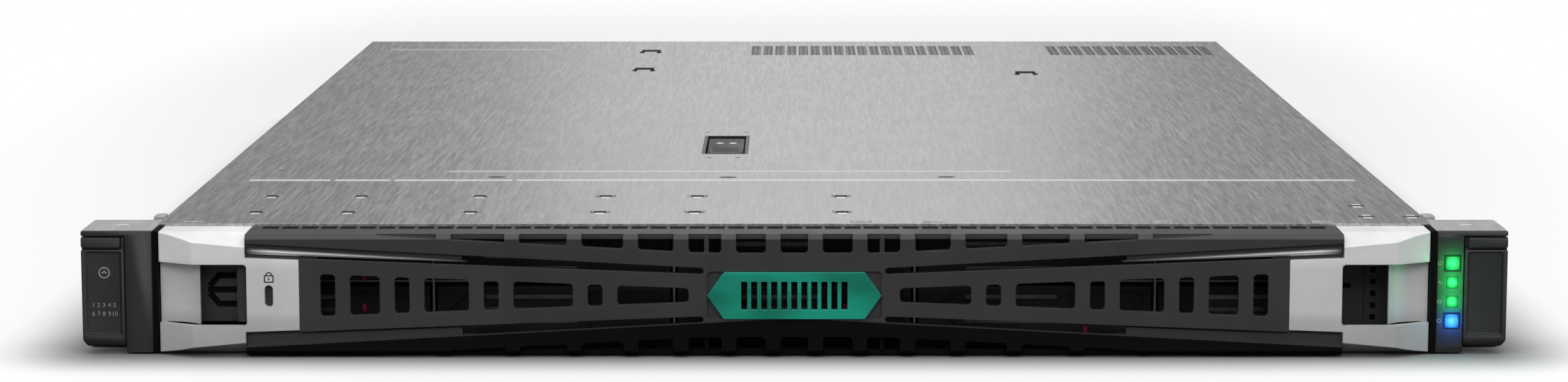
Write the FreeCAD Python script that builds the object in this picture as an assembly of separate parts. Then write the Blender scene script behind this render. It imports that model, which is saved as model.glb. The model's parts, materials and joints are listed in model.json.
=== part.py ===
import FreeCAD, Part
import math
import os

# One-unit rack server, built as an assembly of separate pieces.
# Millimetres, +Z up, X across the rack, +Y from the front to the rear.
# The origin is on the underside of the chassis floor, in the plane of the rack posts' front faces,
# midway between the posts.

V = FreeCAD.Vector

# ---------------------------------------------------------------- driving dimensions
# chassis
rack_width = 482.6          # outside of the two ears
ear_reach = 24.0            # from each side wall out to the ear's edge
chassis_height = 42.8       # underside of the floor to the top of the covers
chassis_depth = 652.0       # rack posts' plane to the outer face of the rear panel
front_overhang = 13.6       # chassis that stands ahead of the posts' plane
pan_sheet = 1.2
cover_sheet = 1.0
seam_y = 98.2               # joint between the fixed front cover and the access panel
seam_gap = 0.4
cover_flange = 9.0          # height of the covers' side flanges
running_gap = 0.3           # between pieces that slide past each other
panel_travel = 10.0         # how far the access panel slides to the rear
stud_radius = 3.0           # studs that hang the chassis in its rails
stud_head_radius = 4.4
stud_neck = 2.2
stud_head = 1.4

# rack ears
screw_inset = 8.75          # ear's edge to the middle of its rack screw
ear_depth = 28.0            # front of the ear to the posts' plane
ear_height = 41.6
strip_width = 9.2           # fixed strip of the ear beside the bezel
ear_sheet = 1.2
rack_screw_radius = 3.0
rack_screw_reach = 10.0     # screw that stands out behind the ear
rack_screw_neck = 2.4       # radius of the neck that keeps the screw in its ferrule
lower_flange_depth = 14.0   # the ear's lower flange stops short of the lever
lever_thickness = 7.4
lever_wall = 1.3
pin_radius = 1.0
pin_gap = 0.05
button_size = 4.9
button_travel = 1.2
light_pitch = 6.6           # buttons and lights, one above the other

# bezel
bezel_stand_off = 35.0      # bezel's front face to the posts' plane
bezel_height = 41.2
bezel_end_gap = 2.3         # chassis side to the bezel's end
bezel_wall = 2.4
bezel_top_wall = 1.8
cap_length = 48.2
arm_length = 30.0
corner_length = 12.1        # slanted corner of the cap, across
corner_set_back = 7.0       # and from front to rear
finger_height = 20.8        # finger window in each cap
finger_width = 16.2
bar_half_centre = 7.2       # half height of the middle bar beside the insert
bar_slope = 0.039           # growth of that half height towards the caps
fascia_half_centre = 9.3    # middle line to the fascia's inner edge beside the insert
fascia_slope = 0.0537
insert_length = 58.6
insert_height = 15.9
insert_bars = 11
post = 5.0                  # solid posts between the openings of the bezel
slot_shares = [24, 5, 20, 5, 15, 5, 10, 5]      # lengths of the bar's slots, against each other
slot_margin = 7.2           # last slot to the cap's tongue
window_shares = [10, 11, 12, 14, 16, 18, 20]    # and of the windows in the fascia
window_margin = 44.4        # last window to the cap's arm
centre_window = 9.2
edge_margin = 5.0           # solid band along the openings of the bar and the fascia
vent_pitch = 6.6            # row of small vents behind the bezel's top edge
vent_rib = 1.2
vent_length = 5.8
ledge_length = 73.0         # set-back ledge beside the bar, as far as the cap
bezel_seat = 0.1            # bezel's back edge to the chassis
chevron_depth = 0.6         # grooves in the catch behind the left finger window

# drive bays
bay_columns = 5
bay_rows = 2
bay_side = 9.6              # chassis wall to the first bay
carrier_gap = 2.6           # between neighbouring carriers
carrier_height = 16.4
carrier_row_pitch = 18.4
carrier_face_y = -9.0       # front face of the drive carriers
carrier_face = 3.0
cage_sheet = 0.8
carrier_rail = 5.1          # thickness of the rails that clasp a drive
shelf_gap = 0.7             # carrier's face to the shelf that its rails run on
shelf_sheet = 0.6
drive_length = 98.0
drive_height = 13.4
board_sheet = 1.6

# fans
fan_count = 7
fan_length = 52.0
fan_wall = 2.0
fan_blades = 5
blade_gap = 0.6
blade_thick = 1.1
blade_pitch = 32.0
hub_radius = 8.5
shaft_radius = 1.5

# system board and what it carries
board_stand = 5.0           # underside of the board above the chassis' underside
board_front_y = 186.0
socket_x = -20.0
socket_y = 326.0
socket_size = 82.0
socket_height = 6.0
processor_size = 73.0
processor_height = 4.4
sink_width = 112.0
sink_length = 98.0
sink_base = 5.0
fin_count = 20
fin_thick = 0.7
memory_per_side = 6
memory_pitch = 8.2
module_length = 133.4
module_height = 28.4
module_thick = 1.3

# access panel latch
latch_x = -27.3
latch_y = 210.0             # middle of the latch's window
latch_width = 15.8
latch_length = 58.0
latch_wall = 1.2
latch_depth = 7.8
hub_of_latch = 3.0
finger_of_latch = 14.0      # cam finger, from the hinge to its tip
finger_thick = 4.0
strike_drop = 9.5           # hinge to the strike's plane

# expansion cards, network card and connectors at the rear
card_start = 43.0           # power supplies to the first card opening
card_space = 34.0           # between the two openings
card_end = 4.9              # second opening to the chassis wall
first_card_share = 0.58     # first opening's part of the room for both
riser_length = 150.0
network_width = 80.0
network_length = 118.0
network_side = 16.0         # network card to the chassis wall
display_start = 44.0        # power supplies to the display connector
serial_start = 82.0
management_start = 104.0
port_depth = 16.0
cover_plate = 1.0
cover_lap = 1.0             # cover plates behind the rear panel, beyond their openings

# power supplies
psu_side = 1.8              # panel's side flange to the first supply
psu_width = 73.5
psu_length = 185.0
psu_height = 39.4
psu_sheet = 1.0
psu_rear_space = 40.0       # open space behind the supply's rear face
psu_gap = 0.5
handle_reach = 22.0
handle_bar = 4.0
inlet_width = 27.4
inlet_height = 20.0
inlet_depth = 17.0

# ---------------------------------------------------------------- derived places
chassis_width = rack_width - 2 * ear_reach
half = chassis_width / 2
inner = half - pan_sheet
front_y = -front_overhang
rear_y = chassis_depth
rear_inside = rear_y - pan_sheet
cover_z = chassis_height - cover_sheet      # underside of the covers
mid_z = chassis_height / 2
bezel_half = half - bezel_end_gap
bezel_y = -bezel_stand_off
bezel_back = front_y - bezel_seat
bezel_low = mid_z - bezel_height / 2
bezel_high = mid_z + bezel_height / 2
arm_x = bezel_half - arm_length             # inner end of the caps' arms
tongue_x = bezel_half - cap_length          # inner end of the caps' tongues
corner_x = bezel_half - corner_length
insert_half = insert_length / 2 + 1.3       # inner end of the bezel's long gaps
ear_y = -ear_depth
ear_x = rack_width / 2
strip_x = half + strip_width
ear_low = mid_z - ear_height / 2
ear_high = mid_z + ear_height / 2
bay_half = inner - bay_side
bay_pitch = 2 * bay_half / bay_columns
carrier_width = bay_pitch - carrier_gap
drive_width = carrier_width - 2 * carrier_rail
row_low = mid_z - carrier_row_pitch / 2 - carrier_height / 2
drive_y = carrier_face_y + carrier_face + 1.0
backplane_y = drive_y + drive_length + 3.0
fan_front_y = backplane_y + board_sheet + 8.0
fan_pitch = (2 * inner - 12.0) / fan_count
fan_size = 2 * (mid_z - pan_sheet)          # stands on the floor, midway up the chassis
fan_bore = fan_size / 2 - fan_wall
board_top = board_stand + board_sheet
psu_front_y = rear_y - psu_length
psu_first_x = -inner + cover_sheet + running_gap + psu_side
psu_x = [psu_first_x, psu_first_x + psu_width + 2 * psu_gap + pan_sheet]
psu_low = pan_sheet + 0.2
psu_right = psu_x[1] + psu_width
card_room = inner - psu_right - card_start - card_space - card_end
card_opening = [first_card_share * card_room, (1 - first_card_share) * card_room]
card_x = [psu_right + card_start, inner - card_end - card_opening[1]]


# ---------------------------------------------------------------- building helpers
def box(x0, x1, y0, y1, z0, z1):
    """A block between two corners."""
    return Part.makeBox(x1 - x0, y1 - y0, z1 - z0, V(x0, y0, z0))


def rod(radius, start, direction, length):
    """A round bar from a start point along a direction."""
    return Part.makeCylinder(radius, length, V(*start), V(*direction))


def outline(points):
    """A closed outline of straight runs; a point with a third value ends an arc through that middle point."""
    edges = []
    start = points[0]
    for point in points[1:] + points[:1]:
        ends = V(*start[0]), V(*point[0])
        middle = point[1] if len(point) > 1 else None
        edge = Part.Arc(ends[0], V(*middle), ends[1]).toShape() if middle else Part.makeLine(*ends)
        edges.append(edge)
        start = point
    return Part.Face(Part.Wire(edges))


def prism(points, along):
    """The solid that a closed outline of straight runs sweeps along a vector."""
    wire = Part.makePolygon([V(*p) for p in points + points[:1]])
    return Part.Face(wire).extrude(V(*along))


def prism_xz(points, y0, y1):
    return prism([(x, y0, z) for x, z in points], (0, y1 - y0, 0))


def prism_xy(points, z0, z1):
    return prism([(x, y, z0) for x, y in points], (0, 0, z1 - z0))


def prism_yz(points, x0, x1):
    return prism([(x0, y, z) for y, z in points], (x1 - x0, 0, 0))


def bar_with_sides(sides, radius, start, length):
    """A bar along Y with flat sides, such as a screw's head."""
    points = [(start[0] + radius * math.cos(a), start[2] + radius * math.sin(a))
              for a in (2 * math.pi * (n + 0.5) / sides for n in range(sides))]
    return prism_xz(points, start[1], start[1] + length)


def joined(pieces):
    """One solid from pieces that overlap or share faces."""
    return pieces[0].multiFuse(pieces[1:]).removeSplitter()


def without(solid, tools):
    """The solid with every tool cut away at once."""
    return solid.cut(Part.makeCompound(tools))


def mirrored(shape):
    """The same shape on the other side of the chassis."""
    return shape.mirror(V(0, 0, 0), V(1, 0, 0))


def flipped(shape):
    """The same shape above and below the chassis' middle plane swapped."""
    return shape.mirror(V(0, 0, mid_z), V(0, 0, 1))


def moved(shape, x=0.0, y=0.0, z=0.0):
    copy = shape.copy()
    copy.translate(V(x, y, z))
    return copy


def save(name, pieces):
    """Writes one node; several pieces become separate solids of that node."""
    shape = pieces if isinstance(pieces, Part.Shape) else Part.makeCompound(pieces)
    shape.exportStep(f"parts/{name}.step")


# ---------------------------------------------------------------- chassis
hook_length = 7.0
hook_low = cover_z - cover_flange + 2.0
hook_high = hook_low + 2.4
hook_count = 4
hook_pitch = (rear_y - seam_y - 110.0) / (hook_count - 1)
hook_places = [seam_y + 40.0 + n * hook_pitch for n in range(hook_count)]
boss_size = 7.0
network_x = inner - network_side - network_width
network_front_y = rear_y - network_length
card_low = cover_z - 19.2
card_high = cover_z - 2.0
usb_size = (14.6, 14.0)
vga_size = (31.0, 12.4)
lan_size = (16.4, 13.6)
port_x = [psu_right + start for start in (display_start, serial_start, management_start)]
stud_places = [55.0, 0.45 * chassis_depth, 0.82 * chassis_depth]


def hook_notch(side, y):
    """Slot for a panel hook: the hook drops in from the top at the rear end and slides forward."""
    x0, x1 = sorted((side * (inner - 1.0), side * (half + 1.0)))
    rear = y + hook_length + panel_travel + 1.0
    run = box(x0, x1, y - running_gap, rear, hook_low - running_gap, hook_high + running_gap)
    entry = box(x0, x1, y + panel_travel - 1.0, rear, hook_low - running_gap, chassis_height)
    return [run, entry]


def boss_places():
    """Where the board's stand-offs rise from the floor."""
    rows = [(board_front_y + 8.0, [-inner + 14.0, -84.0, 84.0, inner - 14.0]),
            (psu_front_y - 26.0, [-inner + 14.0, psu_right + 12.0, 70.0, inner - 14.0]),
            (rear_inside - 14.0, [psu_right + 12.0, psu_right + 140.0])]
    return [(x, y) for y, row in rows for x in row]


def chassis_pan():
    """Folded floor and side walls, with bosses that carry the system board."""
    floor = box(-half, half, front_y, rear_y, 0, pan_sheet)
    walls = [box(x, x + pan_sheet, front_y, rear_y, 0, cover_z) for x in (-half, inner)]
    s = boss_size / 2
    bosses = [box(x - s, x + s, y - s, y + s, pan_sheet - 0.2, board_stand) for x, y in boss_places()]
    notches = [n for side in (-1, 1) for y in hook_places for n in hook_notch(side, y)]
    return without(joined([floor] + walls + bosses), notches)


def rear_panel():
    """Rear wall with its openings, and the partitions beside the power supplies."""
    y0, y1 = rear_inside - 1.0, rear_y + 1.0
    plate = box(-inner, inner, rear_inside, rear_y, pan_sheet, cover_z)
    walls = [box(x, x + pan_sheet, psu_front_y + 30.0, rear_inside, pan_sheet, cover_z - 1.5)
             for x in (psu_x[1] - psu_gap - pan_sheet, psu_right + psu_gap)]
    bays = [box(x - psu_gap, x + psu_width + psu_gap, y0, y1, 0, psu_low + psu_height + 0.3) for x in psu_x]
    cards = [box(x, x + w, y0, y1, card_low, card_high) for x, w in zip(card_x, card_opening)]
    network = box(network_x, network_x + network_width, y0, y1, pan_sheet + 1.0, card_low - 2.0)
    ports = [box(x - running_gap, x + size[0] + running_gap, y0, y1, board_top,
                 board_top + size[1] + running_gap)
             for x, size in zip(port_x, (vga_size, usb_size, lan_size))]
    vents = [box(x, x + 5.0, y0, y1, z, z + 5.0)
             for x in (psu_right + 7.0 + c * 7.0 for c in range(4))
             for z in (6.0 + r * 7.0 for r in range(4))]
    return without(joined([plate] + walls), bays + cards + [network] + ports + vents)


def rail_studs():
    """Shouldered studs, three on each side, that drop into the sliding rails."""
    studs = []
    for y in stud_places:
        shank = rod(stud_radius, (half, y, mid_z), (1, 0, 0), stud_neck)
        head = bar_with_sides(12, stud_head_radius, (0, 0, 0), stud_head)
        head.rotate(V(0, 0, 0), V(0, 0, 1), -90.0)
        stud = joined([shank, moved(head, half + stud_neck, y, mid_z)])
        studs += [stud, mirrored(stud)]
    return studs


# ---------------------------------------------------------------- covers
bridge_columns = [half * share for share in (-0.864, -0.716, -0.52, -0.312, -0.16, 0.077)]
bridge_rows = [15.6, 56.8]
bridge_size = (9.0, 2.4, 0.5)
clip_columns = [half * share for share in (-0.947, 0.105, 0.22, 0.578, 0.832)]
top_vent_pitch = 5.9
top_vent_width = 4.5
top_vent_length = 48.0
top_vent_margin = 24.0      # rear edge of the panel to the vents
lance_width = 9.2
groove_depth = 0.35
groove_width = 1.4
latch_x0 = latch_x - latch_width / 2
latch_x1 = latch_x + latch_width / 2
latch_y0 = latch_y - latch_length / 2
latch_y1 = latch_y + latch_length / 2


def side_flanges(y0, y1, outer_x):
    """The two turned-down edges of a cover."""
    right = box(outer_x - cover_sheet, outer_x, y0, y1, cover_z - cover_flange, cover_z + 0.1)
    return [right, mirrored(right)]


def front_top_cover():
    """Fixed cover over the drive bays, with lanced bridges and the bezel's locating tabs."""
    y1 = seam_y - seam_gap / 2
    plate = box(-half, half, front_y, y1, cover_z, chassis_height)
    lip = box(-bay_half, bay_half, front_y, front_y + cover_sheet, cover_z - 2.0, cover_z + 0.1)
    w, d, rise = bridge_size
    bridges = [prism_xz([(x - w / 2, cover_z + 0.2), (x + w / 2, cover_z + 0.2),
                         (x + w / 2 - 1.4, chassis_height + rise),
                         (x - w / 2 + 1.4, chassis_height + rise)], y - d / 2, y + d / 2)
               for x in bridge_columns for y in bridge_rows]
    tabs = [box(x - 3.6, x + 3.6, front_y + 3.6, front_y + 6.6, chassis_height - 0.1, chassis_height + 0.4)
            for x in clip_columns]
    return joined([plate, lip] + side_flanges(front_y, y1, inner) + bridges + tabs)


def vent_block(x0, x1):
    """Columns of perforations between two X limits, near the rear edge of the panel."""
    count = int((x1 - x0 + top_vent_pitch - top_vent_width) // top_vent_pitch)
    y = rear_y - top_vent_margin - top_vent_length
    return [box(x, x + top_vent_width, y, y + top_vent_length, cover_z - 1.0, chassis_height + 1.0)
            for x in (x0 + c * top_vent_pitch for c in range(count))]


def groove(x0, x1, y):
    """Shallow pressed line across the panel's top."""
    return box(x0, x1, y, y + groove_width, chassis_height - groove_depth, chassis_height + 1.0)


def lance(x, y):
    """Slit round a lanced bridge: a cross slit with a short leg at each end."""
    bar = box(x - lance_width / 2, x + lance_width / 2, y, y + 2.6, cover_z - 1.0, chassis_height + 1.0)
    legs = [box(e - 0.7, e + 0.7, y - 3.4, y + 0.1, cover_z - 1.0, chassis_height + 1.0)
            for e in (x - lance_width / 2 + 0.7, x + lance_width / 2 - 0.7)]
    return [bar] + legs


def access_panel():
    """Sliding cover behind the seam, with hooks that run in the side walls' notches."""
    y0 = seam_y + seam_gap / 2
    plate = box(-half, half, y0, rear_y, cover_z, chassis_height)
    flange_x = inner - running_gap
    hooks = []
    for y in hook_places:
        hook = box(flange_x - 0.1, half - 0.2, y, y + hook_length, hook_low, hook_high)
        hooks += [hook, mirrored(hook)]
    solid = joined([plate] + side_flanges(y0 + 2.0, rear_inside - panel_travel - 2.0, flange_x) + hooks)
    holes = vent_block(card_x[0] - 0.5, card_x[0] + card_opening[0])
    holes += vent_block(card_x[1] - 0.5, card_x[1] + card_opening[1])
    holes += lance(psu_right - 8.0, rear_y - 54.0)
    holes += lance(psu_right - 8.0, rear_y - 143.7)
    holes += lance(card_x[0] + card_opening[0] + 15.5, rear_y - 160.4)
    holes.append(box(latch_x0 - latch_wall, latch_x1 + latch_wall, latch_y0 - latch_wall, latch_y1 + latch_wall,
                     cover_z - 1.0, chassis_height + 1.0))
    holes.append(groove(-0.6 * half, 0.375 * half, seam_y + 27.4))
    holes.append(groove(-0.937 * half, -0.568 * half, rear_y - 43.8))
    return without(solid, holes)


# ---------------------------------------------------------------- access panel latch
latch_hinge_y = latch_y1 - 5.0
latch_hinge_z = cover_z - 3.4
strike_z = latch_hinge_z - strike_drop


def latch_frame():
    """Recessed tray in the access panel that carries the latch's hinge pin."""
    low = chassis_height - latch_depth
    outer = box(latch_x0 - latch_wall, latch_x1 + latch_wall, latch_y0 - latch_wall, latch_y1 + latch_wall,
                low, chassis_height - 0.1)
    hollow = box(latch_x0, latch_x1, latch_y0, latch_y1, low + latch_wall, chassis_height + 1.0)
    way = box(latch_x0, latch_x1, latch_hinge_y - 15.0, latch_y1, low - 1.0, low + latch_wall + 1.0)
    pin = rod(pin_radius, (latch_x0 - 0.6, latch_hinge_y, latch_hinge_z), (1, 0, 0), latch_width + 1.2)
    return joined([without(outer, [hollow, way]), pin])


def latch_lever():
    """Lever that lies flush in the tray; its finger reaches down to the strike plate."""
    x0, x1 = latch_x0 + 0.7, latch_x1 - 0.7
    y, z = latch_hinge_y, latch_hinge_z
    top = chassis_height - 0.5
    plate = box(x0, x1, latch_y0 + 6.0, y, top - 1.8, top)
    nose = prism_yz([(latch_y0 + 1.0, top - 3.6), (latch_y0 + 2.6, top - 3.8), (latch_y0 + 7.0, top - 1.8),
                     (latch_y0 + 7.0, top), (latch_y0 + 6.0, top)], x0 + 2.0, x1 - 2.0)
    hub = rod(hub_of_latch, (x0, y, z), (1, 0, 0), x1 - x0)
    web = box(x0, x1, y - 2.0, y, z, top - 1.0)
    finger = prism_yz([(y - finger_thick / 2, z), (y + finger_thick / 2, z),
                       (y + finger_thick / 2 - 0.6, z - finger_of_latch),
                       (y - finger_thick / 2 + 0.6, z - finger_of_latch)], latch_x - 2.5, latch_x + 2.5)
    hole = rod(pin_radius + pin_gap, (x0 - 1.0, y, z), (1, 0, 0), x1 - x0 + 2.0)
    grips = [box(x0 + 2.0, x1 - 2.0, latch_y0 + 10.0 + n * 3.0, latch_y0 + 11.2 + n * 3.0, top - 0.5, top + 1.0)
             for n in range(4)]
    return without(joined([plate, nose, hub, web, finger]), [hole] + grips)


def latch_strike():
    """Cross brace behind the fans, with the slot that the latch's finger works in."""
    z0, z1 = strike_z - 0.6, strike_z + 0.6
    y0, y1 = latch_hinge_y - 14.0, latch_hinge_y + 12.0
    sheet = box(-inner, inner, y0, y1, z0, z1)
    ribs = [box(-inner, inner, y, y + 1.2, z0 - 4.0, z0 + 0.1) for y in (y0, y1 - 1.2)]
    feet = [box(x, x + 1.2, y0, y1, z0 - 8.0, z0 + 0.1) for x in (-inner, inner - 1.2)]
    slot = box(latch_x - 3.2, latch_x + 3.2, latch_hinge_y - 5.8, latch_hinge_y + 4.0, z0 - 1.0, z1 + 1.0)
    return without(joined([sheet] + ribs + feet), [slot])


# ---------------------------------------------------------------- rack ears
lever_top = ear_high - ear_sheet - 0.8
lever_pin_z = ear_low + 4.8
lever_pin_y = ear_y + 3.0
lever_x = strip_x + running_gap
screw_x = ear_x - screw_inset
ferrule_length = 4.6
light_x = strip_x - 3.8
light_z = [mid_z + light_pitch * n for n in (1.5, 0.5, -0.5, -1.5)]
status_board_y = ear_y + 8.0


def ear_screw_places():
    """Screws that hold each ear's leg to the chassis, in Y and Z."""
    return [(6.0, mid_z + 12.0), (6.0, mid_z - 12.0), (22.0, mid_z)]


def ear_bracket():
    """Right ear: a plate against the post, a leg along the chassis and two flanges, in folded sheet."""
    y0 = ear_y + 2.0
    plate = box(half, ear_x, -ear_sheet, 0, ear_low, ear_high)
    leg = box(half, half + ear_sheet, y0, 30.0, ear_low + 2.0, ear_high - 2.0)
    top = prism_xy([(half, y0), (ear_x - 0.2, y0), (ear_x, y0 + 1.5), (ear_x, 0), (half, 0)],
                   ear_high - ear_sheet, ear_high)
    bottom = box(half, ear_x, -lower_flange_depth, 0, ear_low, ear_low + ear_sheet)
    ferrule = bar_with_sides(6, 4.8, (screw_x, -ear_sheet - ferrule_length, mid_z), ferrule_length + ear_sheet)
    hole = rod(rack_screw_neck + pin_gap, (screw_x, -20.0, mid_z), (0, 1, 0), 30.0)
    seat = rod(rack_screw_radius + running_gap, (screw_x, -ear_sheet, mid_z), (0, 1, 0), ear_sheet + 1.0)
    slot = box(screw_x - 5.0, screw_x - 1.0, ear_y + 15.0, ear_y + 17.2, ear_high - 2.0, ear_high + 1.0)
    return without(joined([plate, leg, top, bottom, ferrule]), [hole, seat, slot])


def ear_housing():
    """Right ear's moulded strip beside the bezel: a front wall and a box behind it."""
    front = box(half, strip_x, ear_y, ear_y + 2.0, ear_low, ear_high)
    body = box(half + ear_sheet, strip_x, ear_y + 1.9, -ear_sheet, ear_low + ear_sheet, ear_high - ear_sheet)
    hollow = box(half + ear_sheet + 1.2, strip_x - 0.9, ear_y + 1.8, -ear_sheet + 1.0,
                 ear_low + ear_sheet + 1.2, ear_high - ear_sheet - 1.2)
    lintel = box(strip_x, ear_x, ear_y, ear_y + 2.0, ear_high - ear_sheet - 0.4, ear_high)
    pin = rod(pin_radius, (strip_x - 2.0, lever_pin_y, lever_pin_z), (1, 0, 0), 4.0)
    return without(joined([front, body, lintel]), [hollow, pin])


def right_ear_housing():
    """The strip with its openings for two buttons and two lights."""
    holes = []
    for z, size in zip(light_z, (button_size, 3.9, 3.9, button_size)):
        s = size / 2 + 0.15
        holes.append(box(light_x - s, light_x + s, ear_y - 1.0, ear_y + 3.0, z - s, z + s))
    return without(ear_housing(), holes)


def lever_pins():
    """Hinge pins of the two release levers, held in the ears' strips."""
    pin = rod(pin_radius, (strip_x - 2.0, lever_pin_y, lever_pin_z), (1, 0, 0), ear_x - strip_x - 1.0)
    return [mirrored(pin), pin]


def release_lever():
    """Right lever that covers the rack screw and swings down about its lower end."""
    back_y = ear_y + lever_thickness
    shell = prism_yz([(ear_y, lever_pin_z), (ear_y, lever_top - 0.6), (ear_y + 0.6, lever_top),
                      (back_y - 0.8, lever_top), (back_y, lever_top - 0.8), (back_y, lever_pin_z + 5.0),
                      (lever_pin_y + 3.0, lever_pin_z)], lever_x, ear_x)
    knuckle = rod(lever_pin_y - ear_y, (lever_x, lever_pin_y, lever_pin_z), (1, 0, 0), ear_x - lever_x)
    hollow = box(lever_x + lever_wall, ear_x - lever_wall, ear_y + 2.2, back_y + 1.0,
                 lever_pin_z + 4.4, lever_top - 1.6)
    grip_z = lever_top - 3.6
    groove = box(lever_x - 1.0, ear_x + 1.0, ear_y - 1.0, ear_y + 1.4, grip_z - 0.8, grip_z)
    notch = box(lever_x - 1.0, lever_x + 1.2, ear_y - 1.0, ear_y + 1.4, grip_z - 0.1, lever_top + 1.0)
    panel = box(lever_x + 1.4, ear_x - 1.8, ear_y - 1.0, ear_y + 0.4, lever_pin_z + 1.4, grip_z - 1.6)
    corner = prism_xz([(ear_x - 2.6, ear_low), (ear_x + 1.0, ear_low), (ear_x + 1.0, lever_pin_z + 1.0)],
                      ear_y - 1.0, back_y)
    hole = rod(pin_radius + pin_gap, (lever_x - 1.0, lever_pin_y, lever_pin_z), (1, 0, 0),
               ear_x - lever_x - 2.0)
    return without(joined([shell, knuckle]), [hollow, groove, notch, panel, corner, hole])


def rack_screws():
    """Captive screws that fasten the ears to the rack, with knurled heads behind the levers."""
    head_y = -ear_sheet - ferrule_length
    shank = rod(rack_screw_radius, (screw_x, running_gap, mid_z), (0, 1, 0), rack_screw_reach)
    neck = rod(rack_screw_neck, (screw_x, head_y - 1.0, mid_z), (0, 1, 0), running_gap - head_y + 2.0)
    head = bar_with_sides(12, 5.0, (screw_x, head_y - 9.0, mid_z), 9.0)
    drive = box(screw_x - 6.0, screw_x + 6.0, head_y - 10.0, head_y - 7.4, mid_z - 0.7, mid_z + 0.7)
    screw = without(joined([shank, neck, head]), [drive])
    return [mirrored(screw), screw]


def ear_screws():
    """Low heads of the screws that hold the ears' legs."""
    hexagon = bar_with_sides(6, 3.0, (0, 0, 0), 0.7)
    hexagon.rotate(V(0, 0, 0), V(0, 0, 1), -90.0)
    heads = [moved(hexagon, half + ear_sheet, y, z) for y, z in ear_screw_places()]
    return [mirrored(h) for h in heads] + heads


def front_button(z):
    """Square push button with a collar behind the strip's wall."""
    s = button_size / 2
    stem = box(light_x - s, light_x + s, ear_y - 0.3, status_board_y - 1.2 - button_travel, z - s, z + s)
    collar = box(light_x - s - 0.4, light_x + s + 0.4, ear_y + 2.3, ear_y + 3.2, z - s - 0.5, z + s + 0.5)
    return joined([stem, collar])


def status_lights():
    """Two light pipes between the buttons."""
    s = 3.9 / 2
    return [box(light_x - s, light_x + s, ear_y - 0.1, status_board_y, z - s, z + s) for z in light_z[1:3]]


def status_board():
    """Small board in the right ear with a switch behind each button."""
    board = box(half + ear_sheet + 1.3, strip_x - 1.0, status_board_y, status_board_y + board_sheet,
                ear_low + ear_sheet + 1.2, ear_high - ear_sheet - 1.2)
    switches = [box(light_x - 1.5, light_x + 1.5, status_board_y - 1.1, status_board_y + 0.1, z - 1.5, z + 1.5)
                for z in (light_z[0], light_z[3])]
    return joined([board] + switches)


# ---------------------------------------------------------------- bezel
slider_y = bezel_y + bezel_wall + 10.6      # front face of the catch's plate
slider_half = 4.0                           # half height of its tail, between the guides
slider_tail_x = arm_x - 12.0


def bar_half(x):
    """Half height of the middle bar at a distance from the centre."""
    return bar_half_centre + bar_slope * (x - insert_half)


def fascia_half(x):
    """Middle line to the fascia's inner edge at a distance from the centre."""
    return fascia_half_centre + fascia_slope * (x - insert_half)


def spans(start, end, shares):
    """Ends of a row of openings that fills a run, each opening with a post ahead of it."""
    unit = (end - start - post * len(shares)) / sum(shares)
    ends = []
    for share in shares:
        ends.append((start + post, start + post + share * unit))
        start = ends[-1][1]
    return ends


def four_ways(shape):
    """A shape and its copies across both middle planes of the bezel."""
    pair = [shape, flipped(shape)]
    return pair + [mirrored(s) for s in pair]


def bezel_shell():
    """Channel across the front: face, top wall and bottom wall, with bevelled front edges."""
    bevel = 1.5
    back = bezel_y + bezel_wall
    low, high = bezel_low, bezel_high
    points = [(bezel_back, high), (bezel_y + bevel, high), (bezel_y, high - bevel), (bezel_y, low + bevel),
              (bezel_y + bevel, low), (bezel_back, low), (bezel_back, low + bezel_top_wall),
              (back, low + bezel_top_wall), (back, high - bezel_top_wall), (bezel_back, high - bezel_top_wall)]
    return prism_yz(points, -arm_x + 0.1, arm_x - 0.1)


def bezel_openings():
    """Everything cut through the bezel's face."""
    y0, y1 = bezel_y - 1.0, bezel_y + bezel_wall + 0.5
    gap = prism_xz([(insert_half, mid_z + bar_half(insert_half)), (arm_x + 1.0, mid_z + bar_half(arm_x + 1.0)),
                    (arm_x + 1.0, mid_z + fascia_half(arm_x + 1.0)),
                    (insert_half, mid_z + fascia_half(insert_half))], y0, y1)
    cuts = four_ways(gap)
    for x0, x1 in spans(insert_half, tongue_x - slot_margin, slot_shares):
        h0, h1 = bar_half(x0) - edge_margin, bar_half(x1) - edge_margin
        slot = prism_xz([(x0, mid_z - h0), (x1, mid_z - h1), (x1, mid_z + h1), (x0, mid_z + h0)], y0, y1)
        cuts += [slot, mirrored(slot)]
    top = bezel_high + 1.0
    for x0, x1 in spans(centre_window / 2, arm_x - window_margin, window_shares):
        low = [mid_z + fascia_half(max(x, insert_half)) + edge_margin for x in (x0, x1)]
        cuts += four_ways(prism_xz([(x0, low[0]), (x1, low[1]), (x1, top), (x0, top)], y0, y1))
    middle = box(-centre_window / 2, centre_window / 2, y0, y1,
                 mid_z + fascia_half(insert_half) + edge_margin, top)
    return cuts + [middle, flipped(middle)]


def top_vents():
    """Row of small vents in the bezel's top wall."""
    y1 = bezel_back - 1.1
    count = int((2 * arm_x - 4.0) // vent_pitch)
    start = -count * vent_pitch / 2 + vent_rib / 2
    return [box(x, x + vent_pitch - vent_rib, y1 - vent_length, y1, bezel_high - 3.0, bezel_high + 1.0)
            for x in (start + n * vent_pitch for n in range(count))]


def ledge_behind_gap():
    """Tapered rail set back in the wide part of the gap beside the bar."""
    ends = [(x, mid_z + bar_half(x) + 0.7, mid_z + fascia_half(x) + 0.6)
            for x in (arm_x - ledge_length, arm_x - 0.2)]
    (x0, low0, high0), (x1, low1, high1) = ends
    back = bezel_y + bezel_wall
    return prism_xz([(x0, low0), (x1, low1), (x1, high1), (x0, high0)], back - 0.6, back + 3.0)


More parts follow.
